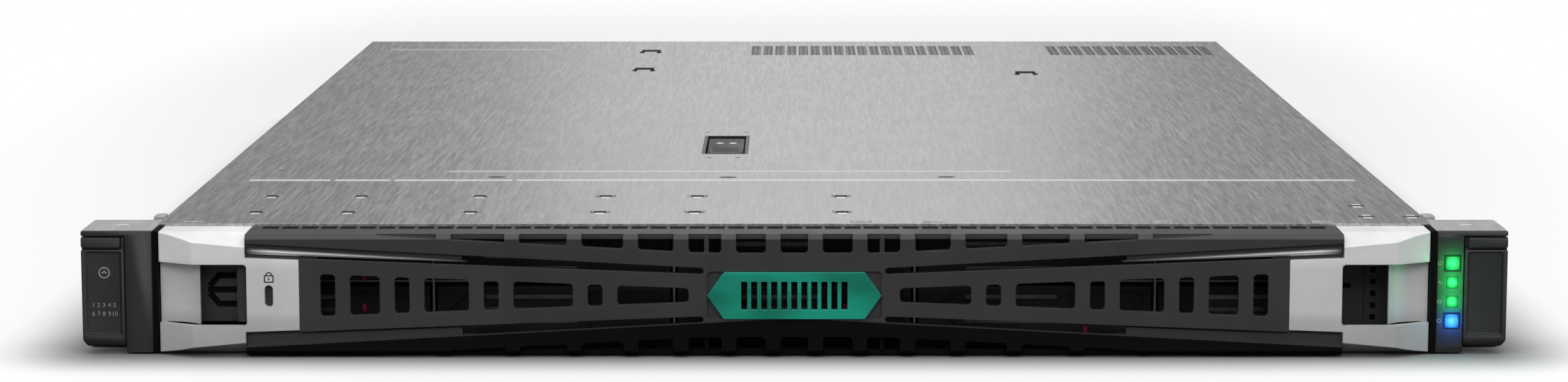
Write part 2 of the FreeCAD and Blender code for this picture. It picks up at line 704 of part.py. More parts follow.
def bezel_frame():
    """Dark moulded frame: fascias above and below a tapered middle bar, open between them."""
    back = bezel_y + bezel_wall
    tongue_seat = prism_xz([(tongue_x, mid_z - bar_half(tongue_x) - 1.0),
                            (arm_x + 1.0, mid_z - bar_half(arm_x) - 1.0),
                            (arm_x + 1.0, mid_z + bar_half(arm_x) + 1.0),
                            (tongue_x, mid_z + bar_half(tongue_x) + 1.0)],
                           bezel_y - 1.0, back)
    seats = [tongue_seat, mirrored(tongue_seat)]
    insert_seat = box(-insert_length / 2 - 0.1, insert_length / 2 + 0.1, bezel_y - 1.0, bezel_y + 1.2,
                      mid_z - insert_height / 2 - 0.1, mid_z + insert_height / 2 + 0.1)
    air_way = box(-insert_length / 2 + 5.0, insert_length / 2 - 5.0, bezel_y - 1.0, back + 1.0,
                  mid_z - insert_height / 2 + 3.0, mid_z + insert_height / 2 - 3.0)
    face = without(bezel_shell(), seats + bezel_openings() + top_vents() + [insert_seat, air_way])
    plate = box(tongue_x - 6.0, arm_x - 0.1, back, back + 1.8, mid_z - 15.0, mid_z + 15.0)
    walls = [box(x, x + 1.6, back, back + 7.0, bezel_low + 1.0, bezel_high - 1.0)
             for x in (tongue_x - 6.0, insert_half - 1.8)]
    ledges = four_ways(ledge_behind_gap())
    guide = box(-slider_tail_x - 5.0, -slider_tail_x + 4.0, back + 1.7, slider_y + 3.0,
                mid_z + slider_half + pin_gap, mid_z + slider_half + 1.5)
    pieces = [face, guide, flipped(guide)] + [s for w in [plate] + walls for s in (w, mirrored(w))] + ledges
    return joined(pieces)


def cap_wedge():
    """Material taken off the upper arm, from its front edge up to the top."""
    sections = []
    for x, edge in ((arm_x - 1.0, bezel_high - 4.5), (bezel_half + 1.0, bezel_high - 1.2)):
        sections.append(Part.makePolygon([V(x, bezel_y - 1.0, edge - 0.45),
                                          V(x, bezel_y - 1.0, bezel_high + 1.0),
                                          V(x, bezel_y + 10.2, bezel_high + 1.0),
                                          V(x, bezel_y + 8.0, bezel_high), V(x, bezel_y - 1.0, edge - 0.45)]))
    return Part.makeLoft(sections, True, True)


def bezel_cap():
    """Right silver cap: a slanted hollow corner with two arms, a tongue, a finger window and a scoop."""
    wall = bezel_wall - 0.2
    outer = prism_xy([(arm_x, bezel_y), (corner_x, bezel_y), (bezel_half, bezel_y + corner_set_back),
                      (bezel_half, bezel_back), (arm_x, bezel_back)], bezel_low, bezel_high)
    hollow = prism_xy([(arm_x - 1.0, bezel_y + bezel_wall), (corner_x - 1.0, bezel_y + bezel_wall),
                       (bezel_half - wall, bezel_y + corner_set_back + 1.4),
                       (bezel_half - wall, bezel_back + 1.0),
                       (arm_x - 1.0, bezel_back + 1.0)], bezel_low + bezel_top_wall,
                       bezel_high - bezel_top_wall)
    wedge = cap_wedge()
    tongue = prism_xz([(tongue_x, mid_z - bar_half(tongue_x) + 0.6),
                       (arm_x + 1.0, mid_z - bar_half(arm_x) + 0.6),
                       (arm_x + 1.0, mid_z + bar_half(arm_x) - 0.6),
                       (tongue_x, mid_z + bar_half(tongue_x) - 0.6)],
                      bezel_y, bezel_y + bezel_wall)
    z0, z1 = mid_z - finger_height / 2, mid_z + finger_height / 2
    window = box(arm_x - 0.5, arm_x + finger_width - 0.5, bezel_y - 1.0, bezel_back + 1.0, z0, z1)
    recess = box(arm_x + 10.0, bezel_half + 1.0, bezel_y - 1.0, bezel_y + corner_set_back + 4.0, z0, z1)
    backing = box(arm_x, bezel_half, bezel_y + bezel_wall - 0.1, bezel_y + 9.6, bezel_high - 6.4,
                  bezel_high - 0.1)
    backings = [outer.common(b) for b in (backing, flipped(backing))]
    body = joined([without(outer, [hollow]), tongue] + backings)
    body = without(body, [wedge, flipped(wedge), window, recess])
    return joined([body, scoop(z0, z1)])


def scoop(z0, z1):
    """Hollowed wall between the arms of a cap, curved like part of an upright cylinder."""
    x0, x1 = arm_x + finger_width - 0.5, bezel_half
    y0, y1 = bezel_y + 4.0, bezel_y + corner_set_back + 3.0
    middle = ((x0 + x1) / 2, (y0 + y1) / 2 + 2.4)
    face = outline([((x0, y0, z0 - 0.2),), ((x1, y1, z0 - 0.2), (middle[0], middle[1], z0 - 0.2)),
                    ((x1, y1 + 2.0, z0 - 0.2),),
                    ((x0, y0 + 2.0, z0 - 0.2), (middle[0], middle[1] + 2.0, z0 - 0.2))])
    return face.extrude(V(0, 0, z1 - z0 + 0.4))


def left_bezel_cap():
    """Left cap, with a security slot through its tongue."""
    x = -(arm_x - 8.0)
    slot = joined([box(x - 1.4, x + 1.4, bezel_y - 1.0, bezel_y + bezel_wall + 1.0, mid_z - 2.6, mid_z + 2.0)]
                  + [rod(1.4, (x, bezel_y - 1.0, z), (0, 1, 0), bezel_wall + 2.0)
                     for z in (mid_z - 2.6, mid_z + 2.0)])
    return without(mirrored(bezel_cap()), [slot])


def vent_insert():
    """Six-sided plate with upright slats, seated in the middle of the bar."""
    h, v = insert_length / 2, insert_height / 2
    y0, y1 = bezel_y - 1.0, bezel_y + 1.2
    plate = prism_xz([(-h, mid_z), (-h + v * 0.7, mid_z - v), (h - v * 0.7, mid_z - v), (h, mid_z),
                      (h - v * 0.7, mid_z + v), (-h + v * 0.7, mid_z + v)], y0, y1)
    run = insert_length - 2.2 * v - 4.0
    pitch = run / insert_bars
    slots = [box(x, x + pitch * 0.62, y0 - 1.0, y1 + 1.0, mid_z - v + 3.2, mid_z + v - 3.2)
             for x in (-run / 2 + pitch * (n + 0.19) for n in range(insert_bars))]
    return without(plate, slots)


def chevron_groove(x, rise):
    """Arrow-shaped groove in the catch's plate that points away from the bezel's middle."""
    points = [(x, mid_z), (x + 5.0, mid_z + rise), (x + 6.4, mid_z + rise), (x + 1.4, mid_z),
              (x + 6.4, mid_z - rise), (x + 5.0, mid_z - rise)]
    return prism_xz(points, slider_y - 1.0, slider_y + chevron_depth)


def release_slider():
    """Sprung catch behind the left cap, worked by a finger through its window."""
    y0, y1 = bezel_y + bezel_wall + 2.2, slider_y
    x0, x1 = -(bezel_half - bezel_wall - 1.0), -slider_tail_x
    pad_x = -(arm_x + 3.0)
    reach = finger_height / 2 - 0.6
    tail = box(pad_x, x1, y1, y1 + 1.8, mid_z - slider_half, mid_z + slider_half)
    plate = box(x0, pad_x + 4.2, y1, y1 + 1.8, mid_z - reach - 1.2, mid_z + reach + 1.2)
    pad = box(pad_x, pad_x + 4.2, y0, y1 + 0.1, mid_z - reach, mid_z + reach)
    hook = prism_xy([(x0, y1), (x0 + 3.0, y1), (x0 + 3.0, y1 + 5.0), (x0, y1 + 5.0), (x0 - 0.8, y1 + 3.6)],
                    mid_z - slider_half, mid_z + slider_half)
    ribs = [box(pad_x - 0.5, pad_x + 0.1, y, y + 0.9, mid_z - reach + 2.0, mid_z + reach - 2.0)
            for y in (y0 + 1.0 + n * 2.2 for n in range(3))]
    chevrons = [chevron_groove(pad_x - 11.6 + n * 3.0, reach - 2.0) for n in range(3)]
    return without(joined([tail, plate, pad, hook] + ribs), chevrons)


# ---------------------------------------------------------------- drive bays
def bay_places():
    """Middle X and lowest Z of every drive bay."""
    return [(-bay_half + (c + 0.5) * bay_pitch, row_low + r * carrier_row_pitch)
            for c in range(bay_columns) for r in range(bay_rows)]


def drive_cage():
    """Sheet-metal partitions, with a shelf under each row of carriers."""
    y1 = backplane_y
    low, high = pan_sheet, cover_z
    sheets = [box(x - cage_sheet / 2, x + cage_sheet / 2, carrier_face_y, y1, low, high)
              for x in (-bay_half + c * bay_pitch for c in range(bay_columns + 1))]
    shelves = [box(-bay_half, bay_half, carrier_face_y + carrier_face + 2.0, y1, z - shelf_gap - shelf_sheet,
                   z - shelf_gap)
               for z in (row_low, row_low + carrier_row_pitch)]
    return joined(sheets + shelves)


def drive_carrier(x, z):
    """Carrier of one drive: a vented face with two chevrons, and two rails."""
    h = carrier_width / 2
    y0, y1 = carrier_face_y, carrier_face_y + carrier_face
    face = box(x - h, x + h, y0, y1, z, z + carrier_height)
    rails = [box(e, e + carrier_rail, y, drive_y + drive_length - 8.0, low, z + carrier_height - 2.0)
             for e in (x - h, x + h - carrier_rail)
             for y, low in ((y1 - 0.1, z + 2.0), (y1 + 3.0, z - shelf_gap))]
    middle = z + carrier_height / 2
    slots = [box(x - h + 16.0, x + 8.0, y0 - 1.0, y1 + 1.0, s, s + 2.0)
             for s in (middle - 5.2, middle - 1.0, middle + 3.2)]
    recess = box(x + 12.0, x + h - 3.0, y0 - 1.0, y0 + 1.4, z + 2.0, z + carrier_height - 2.0)
    arrow = prism_xz([(x - h + 4.0, middle), (x - h + 11.0, middle + 6.0), (x - h + 14.0, middle + 6.0),
                      (x - h + 8.0, middle), (x - h + 14.0, middle - 6.0), (x - h + 11.0, middle - 6.0)],
                     y0 - 1.0, y0 + 1.4)
    return without(joined([face] + rails), slots + [recess, arrow])


def release_tab(x, z):
    """Coloured touch point at the end of a carrier's recess."""
    y = carrier_face_y
    return box(x + 13.0, x + 14.8, y - 0.4, y + 1.4, z + 2.8, z + carrier_height - 2.8)


def drive(x, z):
    """Drive between the rails of its carrier."""
    h = drive_width / 2
    low = z + (carrier_height - drive_height) / 2
    return box(x - h, x + h, drive_y, drive_y + drive_length, low, low + drive_height)


def drive_backplane():
    """Board behind the drives with air slots and a socket for each drive."""
    board = box(-bay_half, bay_half, backplane_y, backplane_y + board_sheet, pan_sheet, cover_z - 1.0)
    sockets = [box(x - 17.0, x + 17.0, drive_y + drive_length, backplane_y + 0.1, z + 5.0, z + 10.0)
               for x, z in bay_places()]
    slots = [box(x + e - 5.0, x + e + 5.0, backplane_y - 1.0, backplane_y + board_sheet + 1.0,
                 row_low + 3.0, row_low + carrier_row_pitch + carrier_height - 3.0)
             for x in (-bay_half + (c + 0.5) * bay_pitch for c in range(bay_columns)) for e in (-28.0, 28.0)]
    return without(joined([board] + sockets), slots)


# ---------------------------------------------------------------- fans
def fan_places():
    return [(n - (fan_count - 1) / 2) * fan_pitch for n in range(fan_count)]


fan_rear_y = fan_front_y + fan_length
stator_y = fan_rear_y - 7.0
rotor_y0 = fan_front_y + 7.0
rotor_y1 = stator_y - 1.0


def fan_housing(x):
    """Square duct with a round bore, and the motor's seat on four struts at the rear."""
    reach = fan_size / 2
    block = box(x - reach, x + reach, fan_front_y, fan_rear_y, mid_z - reach, mid_z + reach)
    bore = rod(fan_bore, (x, fan_front_y - 1.0, mid_z), (0, 1, 0), fan_length + 2.0)
    seat = box(x - hub_radius, x + hub_radius, stator_y, stator_y + 3.0, mid_z - hub_radius, mid_z + hub_radius)
    bearing = rod(shaft_radius + pin_gap, (x, stator_y - 1.0, mid_z), (0, 1, 0), 3.0)
    struts = []
    for n in range(4):
        strut = box(x + hub_radius - 1.0, x + fan_bore + 0.3, stator_y, stator_y + 3.0, mid_z - 0.9,
                    mid_z + 0.9)
        strut.rotate(V(x, 0, mid_z), V(0, 1, 0), 90.0 * n)
        struts.append(strut)
    return without(joined([block.cut(bore), seat] + struts), [bearing])


def fan_blade(x):
    """One pitched blade, tapered from the hub to just short of the bore."""
    middle = 0.5 * (rotor_y0 + rotor_y1)
    reach = 0.5 * (rotor_y1 - rotor_y0 - 6.0)
    low, high = hub_radius - 1.2, fan_bore - blade_gap - 1.8
    plate = prism_yz([(middle - reach, mid_z + low), (middle + reach, mid_z + low),
                      (middle + 0.7 * reach, mid_z + high), (middle - 0.7 * reach, mid_z + high)],
                     x - blade_thick / 2, x + blade_thick / 2)
    plate.rotate(V(x, middle, mid_z), V(0, 0, 1), -blade_pitch)
    return plate


def fan_rotor(x):
    """Hub with pitched blades and a shaft that runs in the motor's seat."""
    hub = bar_with_sides(15, hub_radius, (x, rotor_y0, mid_z), rotor_y1 - rotor_y0)
    shaft = rod(shaft_radius, (x, rotor_y1 - 1.0, mid_z), (0, 1, 0), stator_y - rotor_y1 + 2.6)
    blades = []
    for n in range(fan_blades):
        blade = fan_blade(x)
        blade.rotate(V(x, 0, mid_z), V(0, 1, 0), 360.0 * n / fan_blades)
        blades.append(blade)
    return joined([hub, shaft] + blades)


# ---------------------------------------------------------------- system board
processor_z = board_top + socket_height
sink_z = processor_z + processor_height
sink_high = cover_z - 2.4
slot_height = 6.6


def system_board():
    """Board in plan: full width ahead of the power supplies, narrower beside them."""
    right = inner - 4.0
    points = [(-right, board_front_y), (right, board_front_y), (right, network_front_y - 2.0),
              (network_x - 3.0, network_front_y - 2.0), (network_x - 3.0, rear_inside - 1.0),
              (psu_right + 4.0, rear_inside - 1.0), (psu_right + 4.0, psu_front_y - 14.0),
              (-right, psu_front_y - 14.0)]
    return prism_xy(points, board_stand, board_top)


def processor_socket():
    """Frame round the processor, open in the middle."""
    h, p = socket_size / 2, processor_size / 2 + 0.3
    frame = box(socket_x - h, socket_x + h, socket_y - h, socket_y + h, board_top, processor_z + 1.0)
    seat = box(socket_x - p, socket_x + p, socket_y - p, socket_y + p, processor_z, processor_z + 2.0)
    return without(frame, [seat])


def processor():
    """Substrate with a raised lid."""
    p = processor_size / 2
    base = box(socket_x - p, socket_x + p, socket_y - p, socket_y + p, processor_z, processor_z + 1.4)
    lid = box(socket_x - p + 5.0, socket_x + p - 5.0, socket_y - p + 5.0, socket_y + p - 5.0,
              processor_z + 1.3, sink_z)
    return joined([base, lid])


def heatsink():
    """Base plate and a row of thin fins that run front to rear."""
    w, d = sink_width / 2, sink_length / 2
    base = box(socket_x - w, socket_x + w, socket_y - d, socket_y + d, sink_z, sink_z + sink_base)
    step = (sink_width - 24.0 - fin_thick) / (fin_count - 1)
    fins = [box(x, x + fin_thick, socket_y - d, socket_y + d, sink_z + sink_base - 0.1, sink_high)
            for x in (socket_x - w + 12.0 + n * step for n in range(fin_count))]
    return joined([base] + fins)


def heatsink_screws():
    """Four sprung screws at the corners of the heat sink."""
    w, d = sink_width / 2 - 6.0, sink_length / 2 - 10.0
    hexagon = bar_with_sides(6, 4.2, (0, 0, 0), 6.0)
    hexagon.rotate(V(0, 0, 0), V(1, 0, 0), 90.0)
    return [moved(hexagon, socket_x + a * w, socket_y + b * d, sink_z + sink_base)
            for a in (-1, 1) for b in (-1, 1)]


def memory_places():
    """Middle X of every memory slot, on both sides of the processor."""
    first = sink_width / 2 + 9.0
    return [socket_x + side * (first + n * memory_pitch) for side in (-1, 1) for n in range(memory_per_side)]


def memory_slot(x):
    """Socket with a groove along it and an upright guide at each end."""
    h = module_length / 2 + 4.0
    body = box(x - 2.8, x + 2.8, socket_y - h, socket_y + h, board_top, board_top + slot_height)
    guides = [box(x - 2.8, x + 2.8, y, y + 4.6, board_top, board_top + slot_height + 9.0)
              for y in (socket_y - h, socket_y + h - 4.6)]
    groove = box(x - module_thick / 2 - 0.1, x + module_thick / 2 + 0.1, socket_y - module_length / 2 - 0.1,
                 socket_y + module_length / 2 + 0.1, board_top + 3.0, cover_z)
    return without(joined([body] + guides), [groove])


def memory_module(x):
    """Memory board with its chips on one face."""
    h = module_length / 2
    low = board_top + 3.0
    board = box(x - module_thick / 2, x + module_thick / 2, socket_y - h, socket_y + h, low,
                low + module_height)
    return board


def air_baffle():
    """Roof over the memory and the heat sink, with a turned-down edge at each side that stands on the board."""
    reach = sink_width / 2 + 14.0 + memory_per_side * memory_pitch
    x0, x1 = socket_x - reach, socket_x + reach
    y0, y1 = socket_y - 60.0, socket_y + 60.0
    low, high = cover_z - 2.0, cover_z - 0.9
    points = [(x0, board_top), (x0, high - 3.0), (x0 + 3.0, high), (x1 - 3.0, high), (x1, high - 3.0),
              (x1, board_top), (x1 - 1.1, board_top), (x1 - 1.1, high - 3.4), (x1 - 3.4, low),
              (x0 + 3.4, low), (x0 + 1.1, high - 3.4), (x0 + 1.1, board_top)]
    return prism_xz(points, y0, y1)


# ---------------------------------------------------------------- rear cards and ports
riser_roof = card_low - 0.4


def riser_cage():
    """Folded frame that holds the expansion cards over the system board."""
    x0, x1 = card_x[0] - 3.0, card_x[1] + card_opening[1] + cover_lap
    y0 = rear_inside - riser_length
    roof = box(x0, x1, y0, rear_inside, riser_roof - pan_sheet, riser_roof)
    fins = [box(x, x + 1.2, y0, rear_inside, card_low - 8.0, cover_z - 2.0)
            for x in (x0, card_x[0] + card_opening[0] + 4.0)]
    vents = [box(x0 + 12.0 + n * 26.0, x0 + 26.0 + n * 26.0, y0 + 14.0, rear_inside - 14.0, card_low - 3.0,
                 card_low + 1.0)
             for n in range(int((x1 - x0 - 20.0) // 26.0))]
    return without(joined([roof] + fins), vents)


def slot_covers():
    """Vented blanks over the two expansion openings."""
    covers = []
    for x, w in zip(card_x, card_opening):
        plate = box(x - cover_lap, x + w + cover_lap, rear_inside - cover_plate, rear_inside, riser_roof,
                    card_high + cover_lap)
        holes = [box(h, h + 5.0, rear_inside - 2.0, rear_y, card_low + 3.0, card_high - 4.0)
                 for h in (x + 6.0 + n * 8.0 for n in range(int((w - 12.0) // 8.0)))]
        covers.append(without(plate, holes))
    return covers


def network_card():
    """Card with two shielded sockets, below the second expansion opening."""
    z = pan_sheet + 2.0
    x1 = network_x + network_width
    board = box(network_x + 1.0, x1 - 1.0, network_front_y, rear_inside, z, z + board_sheet)
    plate = box(network_x - cover_lap, x1 + cover_lap, rear_inside - cover_plate, rear_inside, pan_sheet,
                card_low - cover_lap - 0.8)
    low = z + board_sheet
    cages = [box(x, x + 16.0, rear_inside - 60.0, rear_y + 0.3, low, low + 10.6)
             for x in (network_x + 12.0, network_x + 44.0)]
    sockets = [box(x + 1.4, x + 14.6, rear_inside - 20.0, rear_y + 1.0, low + 1.2, low + 9.4)
               for x in (network_x + 12.0, network_x + 44.0)]
    return without(joined([board] + cages + [plate.cut(Part.makeCompound(cages))]), sockets)


def port_block(x, size, sockets):
    """Metal shell of a connector with its sockets, each given as low corner and size."""
    body = box(x, x + size[0], rear_inside - port_depth, rear_y + 0.4, board_top, board_top + size[1])
    holes = [box(x + a, x + a + w, rear_y - 9.0, rear_y + 1.0, board_top + b, board_top + b + h)
             for a, b, w, h in sockets]
    return without(body, holes)


def rear_ports():
    """Display, stacked serial-bus and network connectors on the system board's edge."""
    display = port_block(port_x[0], vga_size, [(7.0, 2.6, 17.0, 7.2)])
    stack = port_block(port_x[1], usb_size, [(1.0, 1.2, 12.4, 5.0), (1.0, 7.8, 12.4, 5.0)])
    network = port_block(port_x[2], lan_size, [(1.6, 1.2, 13.2, 9.0)])
    return [display, stack, network]


# ---------------------------------------------------------------- power supplies
psu_mid_z = psu_low + psu_height / 2
inlet_inset = 5.0
tab_width = 4.0
tab_travel = 3.0


def inlet_x(x):
    return x + inlet_inset


def psu_case(x):
    """Closed case, packed full up to the space behind its rear face, with an inlet recess and vents there."""
    x1 = x + psu_width
    high = psu_low + psu_height
    shell = box(x, x1, psu_front_y, rear_y, psu_low, high)
    hollow = box(x + psu_sheet, x1 - psu_sheet, rear_y - psu_rear_space, rear_y - psu_sheet,
                 psu_low + psu_sheet, high - psu_sheet)
    ix, iz = inlet_x(x), psu_mid_z - inlet_height / 2
    cup = box(ix - 1.2, ix + inlet_width + 1.2, rear_y - inlet_depth - 1.2, rear_y - 0.1,
              iz - 1.2, iz + inlet_height + 1.2)
    c = 4.0
    well = prism_xz([(ix, iz + c), (ix + c, iz), (ix + inlet_width - c, iz), (ix + inlet_width, iz + c),
                     (ix + inlet_width, iz + inlet_height), (ix, iz + inlet_height)], rear_y - inlet_depth,
                     rear_y + 1.0)
    pins = [box(ix + inlet_width / 2 + a - 1.0, ix + inlet_width / 2 + a + 1.0, rear_y - inlet_depth - 0.1,
                rear_y - 5.2,
                psu_mid_z + b - 2.4, psu_mid_z + b + 2.4) for a, b in ((-7.0, 3.0), (0.0, -2.0), (7.0, 3.0))]
    vent_x = ix + inlet_width + 8.0
    vents = [box(v, v + 2.6, rear_y - 2.0, rear_y + 1.0, psu_mid_z - r, psu_mid_z + r)
             for v, r in ((vent_x + n * 4.4, 12.0 - 0.9 * (n - 2.5) ** 2) for n in range(6))]
    slot = box(x1 - 5.2 - tab_travel, x1 - 1.6, rear_y - 2.0, rear_y + 1.0, psu_mid_z - 5.0, psu_mid_z + 5.0)
    body = joined([shell.cut(hollow), cup])
    return joined([without(body, [well, slot] + vents)] + pins)


def psu_handle(x):
    """Loop handle across the fan opening."""
    hx = inlet_x(x) + inlet_width + 2.4
    z0, z1 = psu_mid_z - 15.0, psu_mid_z + 15.0
    y1 = rear_y + handle_reach
    bend = handle_bar
    loop = prism_yz([(rear_y, z0), (y1 - bend, z0), (y1, z0 + bend), (y1, z1 - bend), (y1 - bend, z1),
                     (rear_y, z1)],
                    hx, hx + 5.0)
    gap = box(hx - 1.0, hx + 6.0, rear_y - 1.0, y1 - handle_bar, z0 + handle_bar, z1 - handle_bar)
    return without(loop, [gap])


def psu_latch(x):
    """Sprung tab beside the handle that frees the supply."""
    x1 = x + psu_width - 1.8
    stem = box(x1 - 2.0, x1, rear_y - 30.0, rear_y + 2.1, psu_mid_z - 4.0, psu_mid_z + 4.0)
    pad = box(x1 - tab_width, x1, rear_y + 2.0, rear_y + 12.0, psu_mid_z - 7.0, psu_mid_z + 7.0)
    return joined([stem, pad])


# ---------------------------------------------------------------- the assembly
def build():
    os.makedirs("parts", exist_ok=True)
    save("chassis_pan", chassis_pan())
    save("rear_panel", rear_panel())
    save("rail_studs", rail_studs())
    save("front_top_cover", front_top_cover())
    save("access_panel", access_panel())
    save("latch_frame", latch_frame())
    save("latch_lever", latch_lever())
    save("latch_strike", latch_strike())

    save("left_ear_bracket", mirrored(ear_bracket()))
    save("right_ear_bracket", ear_bracket())
    save("left_ear_housing", mirrored(ear_housing()))
    save("right_ear_housing", right_ear_housing())
    save("left_release_lever", mirrored(release_lever()))
    save("right_release_lever", release_lever())
    save("lever_pins", lever_pins())
    save("rack_screws", rack_screws())
    save("ear_screws", ear_screws())
    save("power_button", front_button(light_z[0]))
    save("locator_button", front_button(light_z[3]))
    save("status_lights", status_lights())
    save("status_board", status_board())

    save("bezel_frame", bezel_frame())
    save("bezel_left_cap", left_bezel_cap())
    save("bezel_right_cap", bezel_cap())
    save("bezel_vent_insert", vent_insert())
    save("bezel_release_slider", release_slider())

    save("drive_cage", drive_cage())
    save("drive_carriers", [drive_carrier(x, z) for x, z in bay_places()])
    save("drive_release_tabs", [release_tab(x, z) for x, z in bay_places()])
    save("drives", [drive(x, z) for x, z in bay_places()])
    save("drive_backplane", drive_backplane())

    save("fan_housings", [fan_housing(x) for x in fan_places()])
    for number, x in enumerate(fan_places(), start=1):
        save(f"fan_rotor_{number}", fan_rotor(x))

    save("system_board", system_board())
    save("processor_socket", processor_socket())
    save("processor", processor())
    save("heatsink", heatsink())
    save("heatsink_screws", heatsink_screws())
    save("memory_slots", [memory_slot(x) for x in memory_places()])
    save("memory_modules", [memory_module(x) for x in memory_places()])
    save("air_baffle", air_baffle())
    save("riser_cage", riser_cage())
    save("slot_covers", slot_covers())
    save("network_card", network_card())
    save("rear_ports", rear_ports())

    for number, x in enumerate(psu_x, start=1):
        save(f"power_supply_{number}_case", psu_case(x))
        save(f"power_supply_{number}_handle", psu_handle(x))
        save(f"power_supply_{number}_latch", psu_latch(x))


build()
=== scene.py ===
import json
import math
import bmesh
import bpy
import numpy as np
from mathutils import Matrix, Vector


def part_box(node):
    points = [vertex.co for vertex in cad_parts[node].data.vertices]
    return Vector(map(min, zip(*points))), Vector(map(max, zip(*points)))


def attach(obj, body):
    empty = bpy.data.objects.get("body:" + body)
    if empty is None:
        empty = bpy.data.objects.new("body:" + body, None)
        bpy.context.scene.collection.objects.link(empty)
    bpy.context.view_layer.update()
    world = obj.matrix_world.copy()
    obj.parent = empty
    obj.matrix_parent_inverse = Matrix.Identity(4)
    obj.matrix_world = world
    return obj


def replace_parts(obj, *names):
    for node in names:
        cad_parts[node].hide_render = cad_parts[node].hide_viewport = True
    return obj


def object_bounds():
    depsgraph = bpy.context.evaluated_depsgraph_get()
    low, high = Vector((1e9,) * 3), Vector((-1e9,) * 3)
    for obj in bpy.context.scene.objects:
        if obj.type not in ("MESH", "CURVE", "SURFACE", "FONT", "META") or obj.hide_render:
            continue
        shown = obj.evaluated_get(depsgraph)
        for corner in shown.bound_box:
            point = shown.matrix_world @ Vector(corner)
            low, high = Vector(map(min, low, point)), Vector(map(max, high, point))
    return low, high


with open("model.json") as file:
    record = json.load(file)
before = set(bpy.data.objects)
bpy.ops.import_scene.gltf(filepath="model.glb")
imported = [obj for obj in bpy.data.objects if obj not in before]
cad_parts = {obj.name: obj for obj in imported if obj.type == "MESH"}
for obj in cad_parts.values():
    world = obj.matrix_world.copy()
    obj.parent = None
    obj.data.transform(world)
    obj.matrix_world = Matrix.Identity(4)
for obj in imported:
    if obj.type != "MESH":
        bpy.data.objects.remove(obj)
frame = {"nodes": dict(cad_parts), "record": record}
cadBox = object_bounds()
nodes = frame["nodes"]
record = frame["record"]
slotOf = {part["node"]: part["material_slot"] for part in record["subparts"]}
bodyOf = {node: body for body, members in record["behaviour"]["bodies"].items() for node in members}
mm = 0.001
finish = {}     # materials by name
print("stage: frame loaded,", len(nodes), "nodes")

# camera: place in metres, degrees below the horizon, millimetres of lens and sensor
shot = dict(place=(0.0, -1.2963, 0.22571), pitch=7.6226, lens=87.075, sensor=36.0, shiftX=-0.0066,
            clip=(0.05, 50.0))

# sky, lamps and floor, in metres and watts
studio = dict(
    skyColour=(0.985, 0.99, 1.0), skyStrength=0.66,
    glossyStrength=0.47,                    # what metal mirrors away from the lamps
    lamps=[
        # name, place, aimed at, width, depth, watts
        ("overheadLamp", (0.0, -0.25, 1.9), (0.0, 0.15, 0.0), 2.6, 1.6, 21.0),
        ("frontLamp", (0.0, -2.6, 1.5), (0.0, 0.0, 0.0), 2.6, 1.0, 24.0),
        ("rearLamp", (0.02, 2.5, 0.86), (0.0, 0.3, 0.04), 0.58, 0.9, 1.65),
    ],
    floorHalf=9.0, floorColour=(0.86, 0.86, 0.86),
    floorBounce=(0.1, 0.1, 0.1),         # what the object sees of the floor
    footCentre=(0.0, 0.32), footHalf=(0.232, 0.346),
    contactShade=0.26, contactReach=0.046,  # painted contact shadow: the floor's tone against the object, and how far it reaches
    fadeFrom=0.04, fadeTo=0.2,             # from shaded floor to plain white
    fadeWeights=(1.0, 0.22, 0.0),           # slower to the front and rear than to the sides
)


def placed(name, data):
    # new object in the scene's collection
    item = bpy.data.objects.new(name, data)
    bpy.context.scene.collection.objects.link(item)
    return item


def feed(tree, node, feeds):
    # each input, by name or number, takes a node's first output, an output or a plain value
    for key, source in feeds.items():
        socket = node.inputs[key]
        if isinstance(source, bpy.types.Node):
            source = source.outputs[0]
        if isinstance(source, bpy.types.NodeSocket):
            tree.links.new(source, socket)
        else:
            socket.default_value = (*source, 1.0) if socket.type == "RGBA" else source


def addNode(tree, kind, feeds=None, **settings):
    # nodes stand in a row, in the order of their making
    node = tree.nodes.new("ShaderNode" + kind)
    node.location = (200.0 * len(tree.nodes), 0.0)
    for name, value in settings.items():
        setattr(node, name, value)
    feed(tree, node, feeds or {})
    return node


def mathNode(tree, operation, *sources):
    return addNode(tree, "Math", dict(enumerate(sources)), operation=operation)


def vectorNode(tree, operation, *sources):
    return addNode(tree, "VectorMath", dict(enumerate(sources)), operation=operation)


def mixColour(tree, factor, first, second):
    # inputs 6 and 7 and output 2 of this node are its colours
    return addNode(tree, "Mix", {0: factor, 6: first, 7: second}, data_type="RGBA").outputs[2]


def mixShader(tree, factor, first, second):
    return addNode(tree, "MixShader", {0: factor, 1: first, 2: second})


def spreadTo(tree, source, low, high, fromLow=0.3, fromHigh=0.7, **settings):
    feeds = {"Value": source, "From Min": fromLow, "From Max": fromHigh, "To Min": low, "To Max": high}
    return addNode(tree, "MapRange", feeds, **settings)


def addFinish(name, build, *settings):
    # new node material, kept by name; build fills its tree from its main shader and object coordinates
    material = bpy.data.materials.new(name)
    material.use_nodes = True
    tree = material.node_tree
    build(tree, tree.nodes["Principled BSDF"], addNode(tree, "TexCoord").outputs["Object"], *settings)
    finish[name] = material


def buildCamera(look):
    data = bpy.data.cameras.new("frontCamera")
    data.lens = look["lens"]
    data.sensor_width = look["sensor"]
    data.shift_x = look["shiftX"]
    data.clip_start, data.clip_end = look["clip"]
    camera = placed("frontCamera", data)
    camera.location = look["place"]
    camera.rotation_euler = (math.radians(90.0 - look["pitch"]), 0.0, 0.0)
    bpy.context.scene.camera = camera
    bpy.context.scene.view_settings.view_transform = "Standard"


